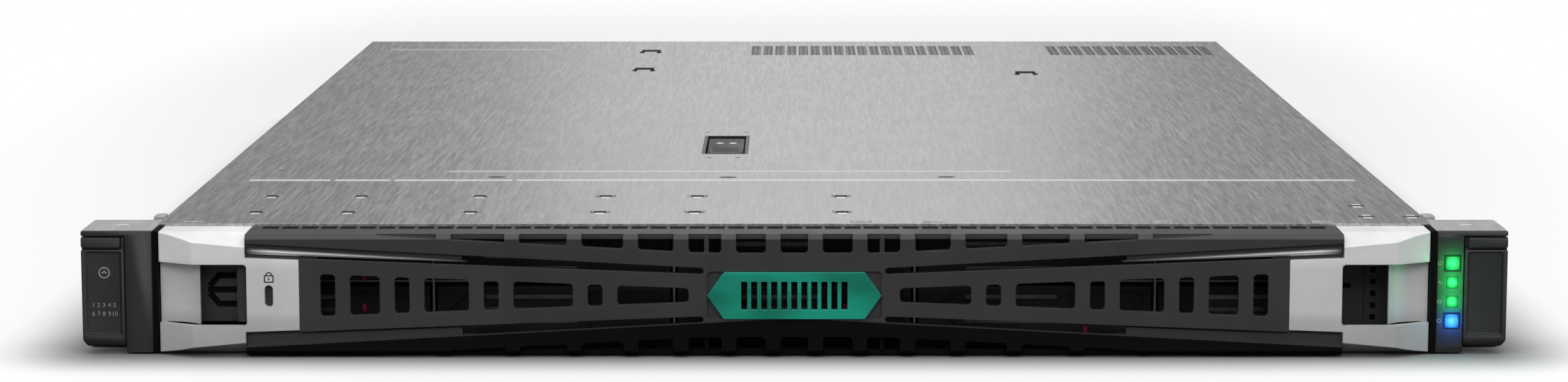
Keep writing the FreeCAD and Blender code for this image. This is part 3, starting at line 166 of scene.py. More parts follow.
def buildWorld(look):
    # metal and glass mirror a dimmer sky than the one that lights the object
    world = bpy.data.worlds.new("plainStudio")
    bpy.context.scene.world = world
    world.use_nodes = True
    tree = world.node_tree
    tree.nodes.clear()
    rays = addNode(tree, "LightPath").outputs
    mirrored = mathNode(tree, "MAXIMUM", rays["Is Glossy Ray"], rays["Is Transmission Ray"])
    sky = addNode(tree, "Background", {"Color": look["skyColour"], "Strength": look["skyStrength"]})
    dimmer = addNode(tree, "Background", {"Strength": look["glossyStrength"]})
    unseen = mixShader(tree, mirrored, sky, dimmer)
    both = mixShader(tree, rays["Is Camera Ray"], unseen, addNode(tree, "Background"))
    addNode(tree, "OutputWorld", {0: both})


def buildLamps(look):
    for name, place, aim, width, depth, watts in look["lamps"]:
        data = bpy.data.lights.new(name, "AREA")
        data.shape = "RECTANGLE"
        data.size = width
        data.size_y = depth
        data.energy = watts
        lamp = placed(name, data)
        lamp.location = place
        lamp.rotation_euler = (Vector(aim) - Vector(place)).to_track_quat("-Z", "Y").to_euler()


def floorFinish(tree, shader, coords, look):
    # painted contact shadow near the object's foot; far away it is plain white for camera rays
    tree.nodes.remove(shader)
    seen = addNode(tree, "LightPath").outputs["Is Camera Ray"]
    fromFoot = vectorNode(tree, "SUBTRACT", coords, (*look["footCentre"], cadBox[0][2]))
    inset = vectorNode(tree, "SUBTRACT", vectorNode(tree, "ABSOLUTE", fromFoot), (*look["footHalf"], 0.0))
    outside = vectorNode(tree, "MAXIMUM", inset, (0.0, 0.0, 0.0))
    weighed = vectorNode(tree, "MULTIPLY", outside, look["fadeWeights"])
    near, far = [vectorNode(tree, "LENGTH", way).outputs["Value"] for way in (outside, weighed)]
    smooth = dict(interpolation_type="SMOOTHSTEP")
    # painted contact shadow: the floor is darker the closer it lies to the object's outline
    shade = spreadTo(tree, near, look["contactShade"], 1.0, 0.0, look["contactReach"], **smooth)
    fade = spreadTo(tree, far, 0.0, 1.0, look["fadeFrom"], look["fadeTo"], **smooth)
    shaded = mixColour(tree, shade, (0.0, 0.0, 0.0), look["floorColour"])
    matte = addNode(tree, "BsdfDiffuse", {"Color": mixColour(tree, seen, look["floorBounce"], shaded)})
    surface = mixShader(tree, mathNode(tree, "MULTIPLY", fade, seen), matte, addNode(tree, "Emission"))
    feed(tree, tree.nodes["Material Output"], {"Surface": surface})


def buildFloor(look):
    # square sheet at the base plane
    half, z = look["floorHalf"], cadBox[0][2]
    mesh = bpy.data.meshes.new("studioFloor")
    corners = [(x, y, z) for x, y in ((-half, -half), (half, -half), (half, half), (-half, half))]
    mesh.from_pydata(corners, [], [(0, 1, 2, 3)])
    addFinish("paleFloor", floorFinish, look)
    mesh.materials.append(finish["paleFloor"])
    placed("studioFloor", mesh)


buildCamera(shot)
buildWorld(studio)
buildLamps(studio)
buildFloor(studio)
print("stage: camera, lamps and floor ready")

# sheet metal: colour, the streaks' spread about it and scale along each axis, gloss, relief, metalness
paleSteel = (0.5, 0.505, 0.51)
sheetRows = {
    "steel_cover": ((0.47, 0.475, 0.48), 0.34, (900, 42, 900), (0.3, 0.46), 0.22),
    "steel_chassis": (paleSteel, 0.1, (520, 60, 520), (0.34, 0.46), 0.08),
    "steel_ear": (paleSteel, 0.14, (700, 60, 700), (0.34, 0.46), 0.12, 0.45),
    "steel_fastener": ((0.56, 0.56, 0.57), 0.06, (3000, 3000, 3000), (0.22, 0.3), 0.008),
    "drive_case": ((0.36, 0.36, 0.37), 0.2, (300, 60, 300), (0.32, 0.48), 0.08),
    "heat_metal": ((0.55, 0.55, 0.56), 0.18, (60, 600, 600), (0.26, 0.42), 0.08),
    "port_metal": ((0.45, 0.45, 0.45), 0.18, (500, 500, 120), (0.24, 0.4), 0.08),
    "supply_case": (paleSteel, 0.1, (420, 420, 60), (0.34, 0.46), 0.08),
}
# mouldings and boards: colour, colour along rubbed edges, the grain's scale, gloss, relief
mouldedRows = {
    "black_moulding": ((0.024, 0.024, 0.025), (0.055, 0.055, 0.057), 2600, (0.42, 0.56), 0.16),
    "bezel_moulding": ((0.033, 0.033, 0.034), (0.07, 0.07, 0.072), 2600, (0.44, 0.58), 0.18),
    "silver_moulding": ((0.78, 0.78, 0.785), (0.84, 0.84, 0.845), 3200, (0.32, 0.42), 0.06),
    "carrier_moulding": ((0.012, 0.012, 0.0125), (0.05, 0.05, 0.052), 2400, (0.38, 0.55), 0.14),
    "magenta_moulding": ((0.42, 0.008, 0.1), (0.55, 0.03, 0.16), 2600, (0.36, 0.5), 0.1),
    "fan_moulding": ((0.018, 0.018, 0.019), (0.04, 0.04, 0.042), 2000, (0.34, 0.5), 0.1),
    "socket_moulding": ((0.05, 0.05, 0.055), (0.09, 0.09, 0.095), 2200, (0.4, 0.55), 0.1),
    "baffle_moulding": ((0.028, 0.028, 0.028), (0.05, 0.05, 0.05), 1800, (0.3, 0.48), 0.1),
    "supply_handle": ((0.028, 0.028, 0.029), (0.06, 0.06, 0.062), 2400, (0.4, 0.55), 0.14),
    "latch_moulding": ((0.36, 0.05, 0.02), (0.48, 0.1, 0.05), 2400, (0.36, 0.52), 0.1),
    "circuit_board": ((0.012, 0.075, 0.032), (0.03, 0.12, 0.06), 900, (0.3, 0.5), 0.2),
}
# lights: colour at a lens's rim, colour in its middle, colour unlit, strength
lampRows = {
    "green_light": ((0.0, 0.62, 0.09), (0.07, 1.0, 0.36), (0.01, 0.06, 0.02), 0.92),
    "blue_light": ((0.01, 0.22, 1.0), (0.16, 0.86, 1.0), (0.01, 0.03, 0.08), 0.95),
}
# small printed, plated or moulded details, and marks of painted shade and painted highlight: colour, gloss,
# metalness, shine
detailRows = {
    "printGrey": ((0.3, 0.3, 0.305), 0.5),
    "printDark": ((0.02, 0.02, 0.021), 0.5),
    "deepBlack": ((0.003, 0.003, 0.0032), 0.7, 0.0, 0.08),
    "paleMetal": ((0.8, 0.8, 0.81), 0.34, 0.35),
    # dark metal: painted shade in slits and dimples, and the printed grid on the lever
    "shadeAndPrintMetal": ((0.055, 0.056, 0.058), 0.45, 0.4),
    "panelGrey": ((0.01, 0.01, 0.0105), 0.42),
    "beadMetal": ((0.58, 0.58, 0.59), 0.42, 0.1),
    "softBead": ((0.54, 0.545, 0.55), 0.42, 0.45),
    "busBlue": ((0.012, 0.06, 0.26), 0.4),
    "goldPlate": ((0.7, 0.46, 0.14), 0.28, 1.0),
    "lampAmber": ((0.5, 0.22, 0.02), 0.3),
    "lampGreen": ((0.02, 0.42, 0.12), 0.25),
    "inkGreen": ((0.02, 0.16, 0.07), 0.5),
    "inkBlue": ((0.03, 0.06, 0.22), 0.5),
}
# painted shade on the bezel's lower fascia: its slant line, blur, dark colour and shine
bezelPaintedShade = dict(slope=0.0537, height=13.6, blur=0.3, colour=(0.003, 0.003, 0.0032), shine=0.1)
# painted light on the silver caps, paler with height: top, darkest colour and stops
silverPaintedLight = dict(top=44.0, low=(0.3, 0.3, 0.305),
                   stops=[(0.0, 0.27), (0.28, 0.43), (0.36, 0.7), (0.68, 0.74), (0.76, 1.0)])
# rim is a painted highlight along the insert's edges
tealLook = dict(dark=(0.001, 0.18, 0.12), light=(0.008, 0.42, 0.28), rim=(0.1, 0.78, 0.56),
                bands=(34, 34, 60), brushing=(60, 900, 900), rough=(0.24, 0.36), bump=0.05,
                metal=0.2, coat=0.3, coatRough=0.12)
edgeRadius = 0.35 * mm      # how far a moulded or folded edge catches light
dimShare = 0.26             # light of a lit part away from its lens


def shades(colour, spread):
    return tuple(c * (1 - spread) for c in colour), tuple(min(1.0, c * (1 + spread)) for c in colour)


def noiseOn(tree, coords, scale, detail, roughness=0.6):
    # noise read along stretched object axes
    scale = scale if isinstance(scale, tuple) else (scale, scale, scale)
    mapping = addNode(tree, "Mapping", {"Scale": scale, "Vector": coords})
    feeds = {"Scale": 1.0, "Detail": detail, "Roughness": roughness, "Vector": mapping}
    return addNode(tree, "TexNoise", feeds)


def softEdge(tree, height, strength, distance):
    # rounded-edge normal first, then the fine relief on top of it
    rounded = addNode(tree, "Bevel", {"Radius": edgeRadius}, samples=3)
    feeds = {"Strength": strength, "Distance": distance, "Height": height, "Normal": rounded}
    return rounded, addNode(tree, "Bump", feeds)


def edgeMask(tree, rounded):
    # how far the rounded normal leans from the flat one: 0 on faces, 1 along edges
    flat = addNode(tree, "NewGeometry").outputs["Normal"]
    dot = vectorNode(tree, "DOT_PRODUCT", rounded, flat).outputs["Value"]
    return spreadTo(tree, dot, 1.0, 0.0, 0.75, 0.99)


def sheetFinish(tree, shader, coords, colour, spread, scale, rough, relief, metal=1.0):
    # bare or plated metal: long fine streaks over a slow mottle, in colour and gloss
    streaks = noiseOn(tree, coords, scale, 5.0, 0.7)
    mottle = noiseOn(tree, coords, 14.0, 2.0)
    dark, light = shades(colour, spread)
    streaked = mixColour(tree, spreadTo(tree, streaks, 0.0, 1.0, 0.34, 0.66), dark, light)
    tone = mixColour(tree, spreadTo(tree, mottle, 0.0, 0.14), streaked, dark)
    gloss, bump = spreadTo(tree, streaks, *rough), softEdge(tree, streaks, relief, 0.06 * mm)[1]
    feed(tree, shader, {"Base Color": tone, "Roughness": gloss, "Normal": bump, "Metallic": metal})


def paintedUndersideShade(tree, coords, shader, surface):
    # painted shade: below the slanted line z = height - slope * |x| the bezel is darker and duller, standing in
    # for the shade on the lower fascia, which slants away from the light
    look = bezelPaintedShade
    parts = addNode(tree, "SeparateXYZ", {0: coords}).outputs
    slant = mathNode(tree, "MULTIPLY_ADD", mathNode(tree, "ABSOLUTE", parts["X"]), look["slope"], parts["Z"])
    low, high = (look["height"] - look["blur"]) * mm, (look["height"] + look["blur"]) * mm
    below = spreadTo(tree, slant, 1.0, 0.0, low, high)
    feed(tree, shader, {"Specular IOR Level": spreadTo(tree, below, 0.5, look["shine"])})
    return mixColour(tree, below, surface, look["colour"])


def paintedTopLight(tree, coords, shader, surface):
    # painted light: the silver caps grow paler with height, standing in for the light from above; stops of
    # height and share of the full colour
    look = silverPaintedLight
    height = addNode(tree, "SeparateXYZ", {0: coords}).outputs["Z"]
    share = addNode(tree, "ValToRGB", {0: spreadTo(tree, height, 0.0, 1.0, 0.0, look["top"] * mm)})
    elements = share.color_ramp.elements
    while len(elements) < len(look["stops"]):
        elements.new(0.5)
    for element, (position, value) in zip(elements, look["stops"]):
        element.position = position
        element.color = (value, value, value, 1.0)
    return mixColour(tree, share, look["low"], surface)


def mouldedFinish(tree, shader, coords, colour, worn, grainScale, rough, relief, paintedLight=None):
    # grained plastic or paint, paler where hands and edges rub it
    grain = noiseOn(tree, coords, grainScale, 3.0)
    cloud = noiseOn(tree, coords, 38.0, 3.0)
    rounded, bump = softEdge(tree, grain, relief, 0.04 * mm)
    clouded = mixColour(tree, spreadTo(tree, cloud, 0.0, 1.0), *shades(colour, 0.1))
    surface = mixColour(tree, edgeMask(tree, rounded), clouded, worn)
    # painted shade or painted light for the bezel and the silver caps
    if paintedLight:
        surface = paintedLight(tree, coords, shader, surface)
    feed(tree, shader, {"Base Color": surface, "Roughness": spreadTo(tree, cloud, *rough), "Normal": bump})


def tealFinish(tree, shader, coords, look):
    # anodised metal: slow bands of shade along its length under fine upright brushing
    bands = noiseOn(tree, coords, look["bands"], 1.5)
    brushing = noiseOn(tree, coords, look["brushing"], 4.0)
    colour = mixColour(tree, spreadTo(tree, bands, 0.0, 1.0, 0.36, 0.64), look["dark"], look["light"])
    rounded, bump = softEdge(tree, brushing, look["bump"], 0.03 * mm)
    feed(tree, shader, {
        # painted highlight: the edges take the pale rim colour
        "Base Color": mixColour(tree, edgeMask(tree, rounded), colour, look["rim"]),
        "Roughness": spreadTo(tree, brushing, *look["rough"]), "Normal": bump,
        "Metallic": look["metal"], "Coat Weight": look["coat"], "Coat Roughness": look["coatRough"]})


def lampFinish(tree, shader, coords, colour, core, body, strength):
    # litCore is 1 in the middle of a lens and low at its rim; the rest of the part is dim
    lit = addNode(tree, "Attribute", attribute_name="litCore").outputs["Fac"]
    ripple = noiseOn(tree, coords, 500.0, 2.0)
    amount = mathNode(tree, "MULTIPLY", lit, spreadTo(tree, ripple, 0.8, 1.0, 0.35, 0.65))
    feed(tree, shader, {
        "Base Color": body, "Roughness": spreadTo(tree, ripple, 0.2, 0.35),
        "Emission Color": mixColour(tree, amount, colour, core),
        "Emission Strength": spreadTo(tree, lit, strength * dimShare, strength, 0.0, 0.05)})


def detailFinish(tree, shader, coords, colour, rough, metal=0.0, shine=0.5):
    # colour with a faint mottle, in gloss too
    mottle = noiseOn(tree, coords, 900.0, 3.0)
    tone = mixColour(tree, spreadTo(tree, mottle, 0.0, 1.0), *shades(colour, 0.12))
    gloss = spreadTo(tree, mottle, rough * 0.85, min(1.0, rough * 1.15))
    feeds = {"Base Color": tone, "Roughness": gloss, "Metallic": metal, "Specular IOR Level": shine}
    feed(tree, shader, feeds)


def addFinishes(build, rows):
    for name, row in rows.items():
        addFinish(name, build, *row)


# the bezel gets painted shade low down, the silver caps painted light high up
mouldedRows["bezel_moulding"] += (paintedUndersideShade,)
mouldedRows["silver_moulding"] += (paintedTopLight,)
addFinishes(sheetFinish, sheetRows)
addFinishes(mouldedFinish, mouldedRows)
addFinishes(lampFinish, lampRows)
addFinish("teal_metal", tealFinish, tealLook)
for name, node in nodes.items():
    node.data.materials.clear()
    node.data.materials.append(finish[slotOf[name]])
print("stage: finishes on all nodes")

# moulded and machined nodes that get rounded edges, with the rounding's width
softWidths = dict(left_ear_housing=0.35, right_ear_housing=0.35, left_release_lever=0.4,
                  right_release_lever=0.4, latch_lever=0.2, power_supply_1_handle=0.9,
                  power_supply_2_handle=0.9)


def declare(piece, body):
    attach(piece, body)
    return piece


def softened(name, width):
    # the node's own mesh, merged, with every sharp edge rounded by that many millimetres
    mesh = nodes[name].data.copy()
    work = bmesh.new()
    work.from_mesh(mesh)
    bmesh.ops.remove_doubles(work, verts=work.verts, dist=0.004 * mm)
    work.to_mesh(mesh)
    work.free()
    mesh.polygons.foreach_set("use_smooth", np.ones(len(mesh.polygons), bool))
    piece = placed(name + "_soft", mesh)
    bevel = piece.modifiers.new("rounded", "BEVEL")
    bevel.width = width * mm
    bevel.segments = 2
    bevel.limit_method = "ANGLE"
    bevel.angle_limit = math.radians(28)
    bevel.use_clamp_overlap = False
    bevel.harden_normals = True
    bevel.miter_outer = "MITER_ARC"
    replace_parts(declare(piece, bodyOf[name]), name)


for name, width in softWidths.items():
    softened(name, width)
print("stage: rounded copies made")


def boxOf(name):
    low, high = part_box(name)
    return np.array(low) / mm, np.array(high) / mm


def newPiece(name, shape, body, look, smooth=False):
    # shape is verts in millimetres and faces; closed shells get their faces turned outwards
    mesh = bpy.data.meshes.new(name)
    mesh.from_pydata(np.asarray(shape[0], float).reshape(-1, 3) * mm, [], shape[1])
    work = bmesh.new()
    work.from_mesh(mesh)
    bmesh.ops.recalc_face_normals(work, faces=work.faces)
    work.to_mesh(mesh)
    work.free()
    mesh.polygons.foreach_set("use_smooth", np.full(len(mesh.polygons), smooth))
    mesh.materials.append(finish[look])
    return declare(placed(name, mesh), body)


def thicken(piece, thickness):
    wall = piece.modifiers.new("wall", "SOLIDIFY")
    wall.thickness = thickness * mm


def prismSet(outlines, low, high, axis=1):
    # closed outlines of as many points each, carried along one axis from low to high
    outlines = np.asarray(outlines, float)
    count, points = outlines.shape[:2]
    across = [a for a in range(3) if a != axis]
    verts = np.zeros((count, 2, points, 3))
    verts[..., across] = outlines[:, None]
    for end, level in enumerate((low, high)):
        verts[:, end, :, axis] = np.broadcast_to(np.asarray(level, float).reshape(-1, 1), (count, points))
    ring = np.arange(points)
    after = (ring + 1) % points
    start = (np.arange(count) * 2 * points)[:, None]
    sides = np.stack([start + ring, start + after, start + after + points, start + ring + points], -1)
    ends = np.concatenate([start + ring, start + points + ring])
    return verts.reshape(-1, 3), sides.reshape(-1, 4).tolist() + ends.tolist()


def blocks(rows):
    # boxes given as rows of x0, x1, y0, y1, z0, z1
    rows = np.asarray(rows, float)
    outlines = np.stack([rows[:, [0, 2]], rows[:, [1, 2]], rows[:, [1, 3]], rows[:, [0, 3]]], 1)
    return prismSet(outlines, rows[:, 4], rows[:, 5], 2)


def bothSides(rows):
    return rows + [(-b, -a, *rest) for a, b, *rest in rows]


def boxesAt(places, rows, y):
    # rows for the same boxes round each place x, z, with their depths measured from y
    return [(x + a, x + b, y + c, y + d, z + e, z + f) for x, z in places for a, b, c, d, e, f in rows]


def unit(vectors):
    return vectors / np.linalg.norm(vectors, axis=-1, keepdims=True)


def ribbon(path, width, closed):
    # the path shifted half a width to both sides of its running direction
    path = np.asarray(path, float)
    ahead = np.roll(path, -1, 0) - path
    if not closed:
        ahead[-1] = ahead[-2]
    behind = np.roll(ahead, 1, 0)
    if not closed:
        behind[0] = ahead[0]
    lean = unit(unit(ahead) + unit(behind))
    side = np.stack([-lean[:, 1], lean[:, 0]], 1)
    stretch = 1 / np.clip((lean * unit(ahead)).sum(1, keepdims=True), 0.5, 1)
    return path + side * stretch * width / 2, path - side * stretch * width / 2


def line(*points):
    return points, False


def loop(points):
    return points, True


def strokes(paths, width, low, high, axis=1):
    # lines and loops drawn as chains of four-sided prisms, one for each run of a path
    quads = []
    for path, closed in paths:
        left, right = ribbon(path, width, closed)
        if closed:
            left, right = np.vstack([left, left[:1]]), np.vstack([right, right[:1]])
        quads.append(np.stack([left[:-1], left[1:], right[1:], right[:-1]], 1))
    return prismSet(np.concatenate(quads), low, high, axis)


def sheets(grids, closed=False):
    # one mesh from grids of points, each rows x columns x 3; closed joins last columns to first ones
    faces, start = [], 0
    for grid in grids:
        rows, columns = grid.shape[:2]
        row = start + columns * np.arange(rows - 1)[:, None]
        column = np.arange(columns if closed else columns - 1)[None, :]
        after = (column + 1) % columns
        quads = np.stack([row + column, row + after, row + columns + after, row + columns + column], -1)
        faces += quads.reshape(-1, 4).tolist()
        start += rows * columns
    return np.vstack([grid.reshape(-1, 3) for grid in grids]), faces


def circle(x, z, radius, steps=20, start=0.0, sweep=2 * math.pi):
    angles = start + sweep * np.arange(steps) / (steps if sweep >= 2 * math.pi else steps - 1)
    return np.stack([x + radius * np.cos(angles), z + radius * np.sin(angles)], 1)


def dome(place, across, up, out, radius, rings, sides):
    # rings of share r of the radius and height h: place + r * radius * (cos a, sin a) + h * out
    angles = np.linspace(0, 2 * math.pi, sides, endpoint=False)[:, None]
    turn = np.cos(angles) * np.array(across) + np.sin(angles) * np.array(up)
    return np.stack([np.array(place) + r * radius * turn + h * np.array(out) for r, h in rings])


addFinishes(detailFinish, detailRows)
chassisLow, chassisHigh = boxOf("chassis_pan")
halfX = chassisHigh[0]
coverTop = boxOf("access_panel")[1][2]
bezelLow, bezelHigh = boxOf("bezel_frame")
capLow, capHigh = boxOf("bezel_right_cap")
midZ = (bezelLow[2] + bezelHigh[2]) / 2
faceY = bezelLow[1]
armX = capHigh[0] - 30.0        # inner edge of the caps' fascias

# rounded webs in the corners of the bezel's openings
cornerLook = dict(radius=1.25, steps=4, depth=2.3, narrowest=35.0, widest=150.0)


def openCorners(name):
    # corners of the front face's rim: their places, both neighbours along the rim and the open angle
    mesh = nodes[name].data
    points = np.empty(len(mesh.vertices) * 3)
    mesh.vertices.foreach_get("co", points)
    mesh.calc_loop_triangles()
    corners = np.empty(len(mesh.loop_triangles) * 3, int)
    mesh.loop_triangles.foreach_get("vertices", corners)
    spots, same = np.unique(np.round(points.reshape(-1, 3) / mm, 3), axis=0, return_inverse=True)
    triangles = same.ravel()[corners].reshape(-1, 3)
    front = spots[:, 1].min()
    triangles = triangles[(np.abs(spots[triangles][:, :, 1] - front) < 0.01).all(1)]
    flat = spots[:, [0, 2]]
    ahead = flat[np.roll(triangles, -1, 1)] - flat[triangles]
    back = flat[np.roll(triangles, 1, 1)] - flat[triangles]
    cosine = (ahead * back).sum(-1) / (np.linalg.norm(ahead, axis=-1) * np.linalg.norm(back, axis=-1) + 1e-9)
    angles = np.degrees(np.arccos(np.clip(cosine, -1, 1)))
    filled = np.bincount(triangles.ravel(), angles.ravel(), len(spots))
    edges = np.sort(np.concatenate([triangles[:, [0, 1]], triangles[:, [1, 2]], triangles[:, [2, 0]]]), 1)
    edges, uses = np.unique(edges, axis=0, return_counts=True)
    rim = edges[uses == 1]
    rim = np.concatenate([rim, rim[:, ::-1]])
    rim = rim[np.argsort(rim[:, 0], kind="stable")]
    owner, first, count = np.unique(rim[:, 0], return_index=True, return_counts=True)
    owner, first = owner[count == 2], first[count == 2]
    return flat[owner], flat[rim[first, 1]], flat[rim[first + 1, 1]], 360 - filled[owner], front


def cornerWebs(name, look, keep=None):
    # tangent length t = r / tan(angle / 2), centre at r / sin(angle / 2) along the corner's bisector
    at, one, two, angle, front = openCorners(name)
    chosen = (angle < look["widest"]) & (angle > look["narrowest"])
    if keep:
        chosen &= keep(at)
    at, one, two, half = at[chosen], one[chosen], two[chosen], np.radians(angle[chosen])[:, None] / 2
    runs = [np.linalg.norm(end - at, axis=1, keepdims=True) for end in (one, two)]
    u, v = (one - at) / runs[0], (two - at) / runs[1]
    tangent = np.minimum(look["radius"] / np.tan(half), 0.45 * np.minimum(*runs))
    radius = tangent * np.tan(half)
    centre = at + unit(u + v) * radius / np.sin(half)
    share = np.linspace(0, 1, look["steps"] + 1)[None, :, None]
    start, end = at + u * tangent, at + v * tangent
    chord = (start - centre)[:, None] * (1 - share) + (end - centre)[:, None] * share
    arc = centre[:, None] + unit(chord) * radius[:, None]
    return prismSet(np.concatenate([at[:, None], arc], 1), front, front + look["depth"])


def inWindow(spots):
    return (np.abs(spots[:, 1] - midZ) < 11.5) & (np.abs(spots[:, 0]) > armX - 2.0)


for name, keep in (("bezel_frame", None), ("bezel_left_cap", inWindow), ("bezel_right_cap", inWindow)):
    newPiece(name + "_rounds", cornerWebs(name, cornerLook, keep), "bezel", slotOf[name])
print("stage: rounded corners in the bezel")

# satin bead in the wide part of the gap beside the bar, between bar's edge and fascia's edge; its colour is a
# painted reflection
beadLook = dict(start=110.0, fromX=30.6, barHalf=7.2, barSlope=0.039, fasciaHalf=9.3, fasciaSlope=0.0537,
                above=0.6, below=1.7, setBack=1.85, bulge=0.95, wall=0.3, steps=(40, 9),
                bright=(0.62, 0.62, 0.625), dark=(0.018, 0.018, 0.019), shineX=(108.0, 172.0),
                capX=(177.0, 185.5), rough=(0.26, 0.36), metal=0.35)


def beadPaintedShineFinish(tree, shader, coords, look):
    # painted reflection: the strip is bright beside the cap and loses its painted shine towards the middle
    side = mathNode(tree, "ABSOLUTE", addNode(tree, "SeparateXYZ", {0: coords}).outputs["X"])
    shine, nearCap = [spreadTo(tree, side, *ends, look[key][0] * mm, look[key][1] * mm)
                      for key, ends in (("shineX", (0.0, 1.0)), ("capX", (1.0, 0.0)))]
    tone = mixColour(tree, mathNode(tree, "MULTIPLY", shine, nearCap), look["dark"], look["bright"])
    gloss = spreadTo(tree, noiseOn(tree, coords, 1400.0, 3.0), *look["rough"])
    feed(tree, shader, {"Base Color": tone, "Roughness": gloss, "Metallic": look["metal"]})


def beadSurface(side, look):
    # x runs along the gap, angle a over the bead: z between the gap's edges, y = back - bulge * sin(a)
    steps = [np.linspace(0, end, count) for end, count in zip((1, math.pi), look["steps"])]
    share, a = np.meshgrid(*steps, indexing="ij")
    x = look["start"] + (armX - 0.6 - look["start"]) * share
    low = midZ + look["barHalf"] + look["barSlope"] * (x - look["fromX"]) + look["above"]
    high = midZ + look["fasciaHalf"] + look["fasciaSlope"] * (x - look["fromX"]) - look["below"]
    z = (low + high) / 2 - (high - low) / 2 * np.cos(a)
    return sheets([np.stack([side * x, faceY + look["setBack"] - look["bulge"] * np.sin(a), z], -1)])


addFinish("beadPaintedShine", beadPaintedShineFinish, beadLook)
for side, word in ((-1, "left"), (1, "right")):
    shape = beadSurface(side, beadLook)
    bead = newPiece(word + "_gap_bead", shape, "bezel", "beadPaintedShine", True)
    thicken(bead, beadLook["wall"])
print("stage: beads in the gaps")

# marks on the left lever and the left cap's tongue: places x, z on the face
leverFace = boxOf("right_release_lever")[0][1] + 0.4
markLook = dict(proud=0.06, sink=0.2, ring=(-233.6, 28.0), ringRadius=1.75, ringStroke=0.42,
                gridX=(-238.4, -229.4), gridZ=(18.6, 15.6, 12.6, 11.6), gridColumns=6, gridStroke=0.156,
                numberSize=2.1, numberX=-237.5, numberPitch=1.8,
                numberRows=((16.2, "1 2 3 4 5"), (13.2, "6 7 8 9 10")),
                lock=(-176.9, 25.9), lockHalf=1.45, lockHeight=2.2, lockStroke=0.4)


def flatNumber(name, digits, size, x, y, z):
    # a text curve made a mesh, stood upright facing the front, its place applied to the vertices
    curve = bpy.data.curves.new(name + "_curve", "FONT")
    curve.body = digits
    curve.size = size * mm
    curve.align_x = "CENTER"
    curve.extrude = 0.02 * mm
    curve.resolution_u = 2
    holder = placed(name + "_curve", curve)
    mesh = bpy.data.meshes.new_from_object(holder.evaluated_get(bpy.context.evaluated_depsgraph_get()))
    bpy.data.objects.remove(holder)
    points = np.empty(len(mesh.vertices) * 3)
    mesh.vertices.foreach_get("co", points)
    across, up, out = points.reshape(-1, 3).T
    mesh.vertices.foreach_set("co", np.stack([across + x * mm, y * mm - out, up + z * mm], 1).ravel())
    mesh.materials.clear()
    mesh.materials.append(finish["printGrey"])
    return declare(placed(name, mesh), "left_lever")


def leverMark(name, paths, stroke, look):
    shape = strokes(paths, stroke, leverFace - markLook["proud"], leverFace + markLook["sink"])
    newPiece(name, shape, "left_lever", look)


ringX, ringZ = markLook["ring"]
ringMark = [loop(circle(ringX, ringZ, markLook["ringRadius"])),
            line((ringX - 0.9, ringZ), (ringX + 0.9, ringZ)),
            line((ringX, ringZ + 0.9), (ringX, ringZ - 0.1))]
leverMark("drive_mark", ringMark, markLook["ringStroke"], "printGrey")
left, right = markLook["gridX"]
rowZ = markLook["gridZ"]
grid = [line((left, z), (right, z)) for z in rowZ]
grid += [line((x, rowZ[0]), (x, rowZ[2])) for x in np.linspace(left, right, markLook["gridColumns"])]
leverMark("bay_number_grid", grid, markLook["gridStroke"], "shadeAndPrintMetal")
for row, (z, numbers) in enumerate(markLook["numberRows"]):
    for column, digits in enumerate(numbers.split()):
        x = markLook["numberX"] + markLook["numberPitch"] * column
        flatNumber(f"bay_number_{row}_{column}", digits, markLook["numberSize"], x, leverFace - 0.05, z)

lockX, lockZ = markLook["lock"]
half, top = markLook["lockHalf"], lockZ + markLook["lockHeight"]
lockMark = [loop([(lockX - half, lockZ), (lockX + half, lockZ), (lockX + half, top), (lockX - half, top)]),
            line(*circle(lockX, top + 0.1, 0.95, 9, 0.0, math.pi)),
            line((lockX, lockZ + 0.7), (lockX, lockZ + 1.5))]
newPiece("lock_mark", strokes(lockMark, markLook["lockStroke"], capLow[1] - 0.02, capLow[1] + 0.2), "bezel",
         "printDark")
print("stage: marks drawn")

# lit lenses: pillows over the buttons and light pipes, brightest in the middle
lensLook = dict(puff=0.1, steps=13, pull=0.14, wall=0.05, lampInset=1.95)
lenses = (("power_button", "green_light", 4.5), ("status_lights", "green_light", 3.6),
          ("locator_button", "blue_light", 4.5))
glow = dict(colours=dict(green_light=(0.03, 1.0, 0.18), blue_light=(0.02, 0.22, 1.0)), watts=0.0008,
            ahead=2.2, radius=1.2)


def litCentres(name):
    # middle of each lit square: the two status lights lie on one upright line
    low, high = boxOf(name)
    x, z = (low[0] + high[0]) / 2, (low[2] + high[2]) / 2
    if name != "status_lights":
        return [(x, low[1], z)]
    inset = lensLook["lampInset"]
    return [(x, low[1], level) for level in (low[2] + inset, high[2] - inset)]


def lensSurface(centre, size, look):
    # a square's grid pulled in at its corners and raised by puff * (1 - r^4)
    u, v = np.meshgrid(*[np.linspace(-1, 1, look["steps"])] * 2, indexing="ij")
    squeeze = (1 - look["pull"] * (u * v) ** 2) * size / 2
    y = centre[1] - 0.02 - look["puff"] * (1 - np.maximum(np.abs(u), np.abs(v)) ** 4)
    core = np.clip(1.15 - np.sqrt(u ** 2 + v ** 2) * 0.95, 0.08, 1)
    return sheets([np.stack([centre[0] + u * squeeze, y, centre[2] + v * squeeze], -1)]), core


def pointLayer(piece, name, kind, field, values):
    layer = piece.data.attributes.new(name, kind, "POINT")
    layer.data.foreach_set(field, values.ravel().astype(np.float32))


def glowLamp(name, lamp, centre, look):
    data = bpy.data.lights.new(name, "POINT")
    data.color = look["colours"][lamp]
    data.energy = look["watts"]
    data.shadow_soft_size = look["radius"] * mm
    placed(name, data).location = (centre[0] * mm, (centre[1] - look["ahead"]) * mm, centre[2] * mm)


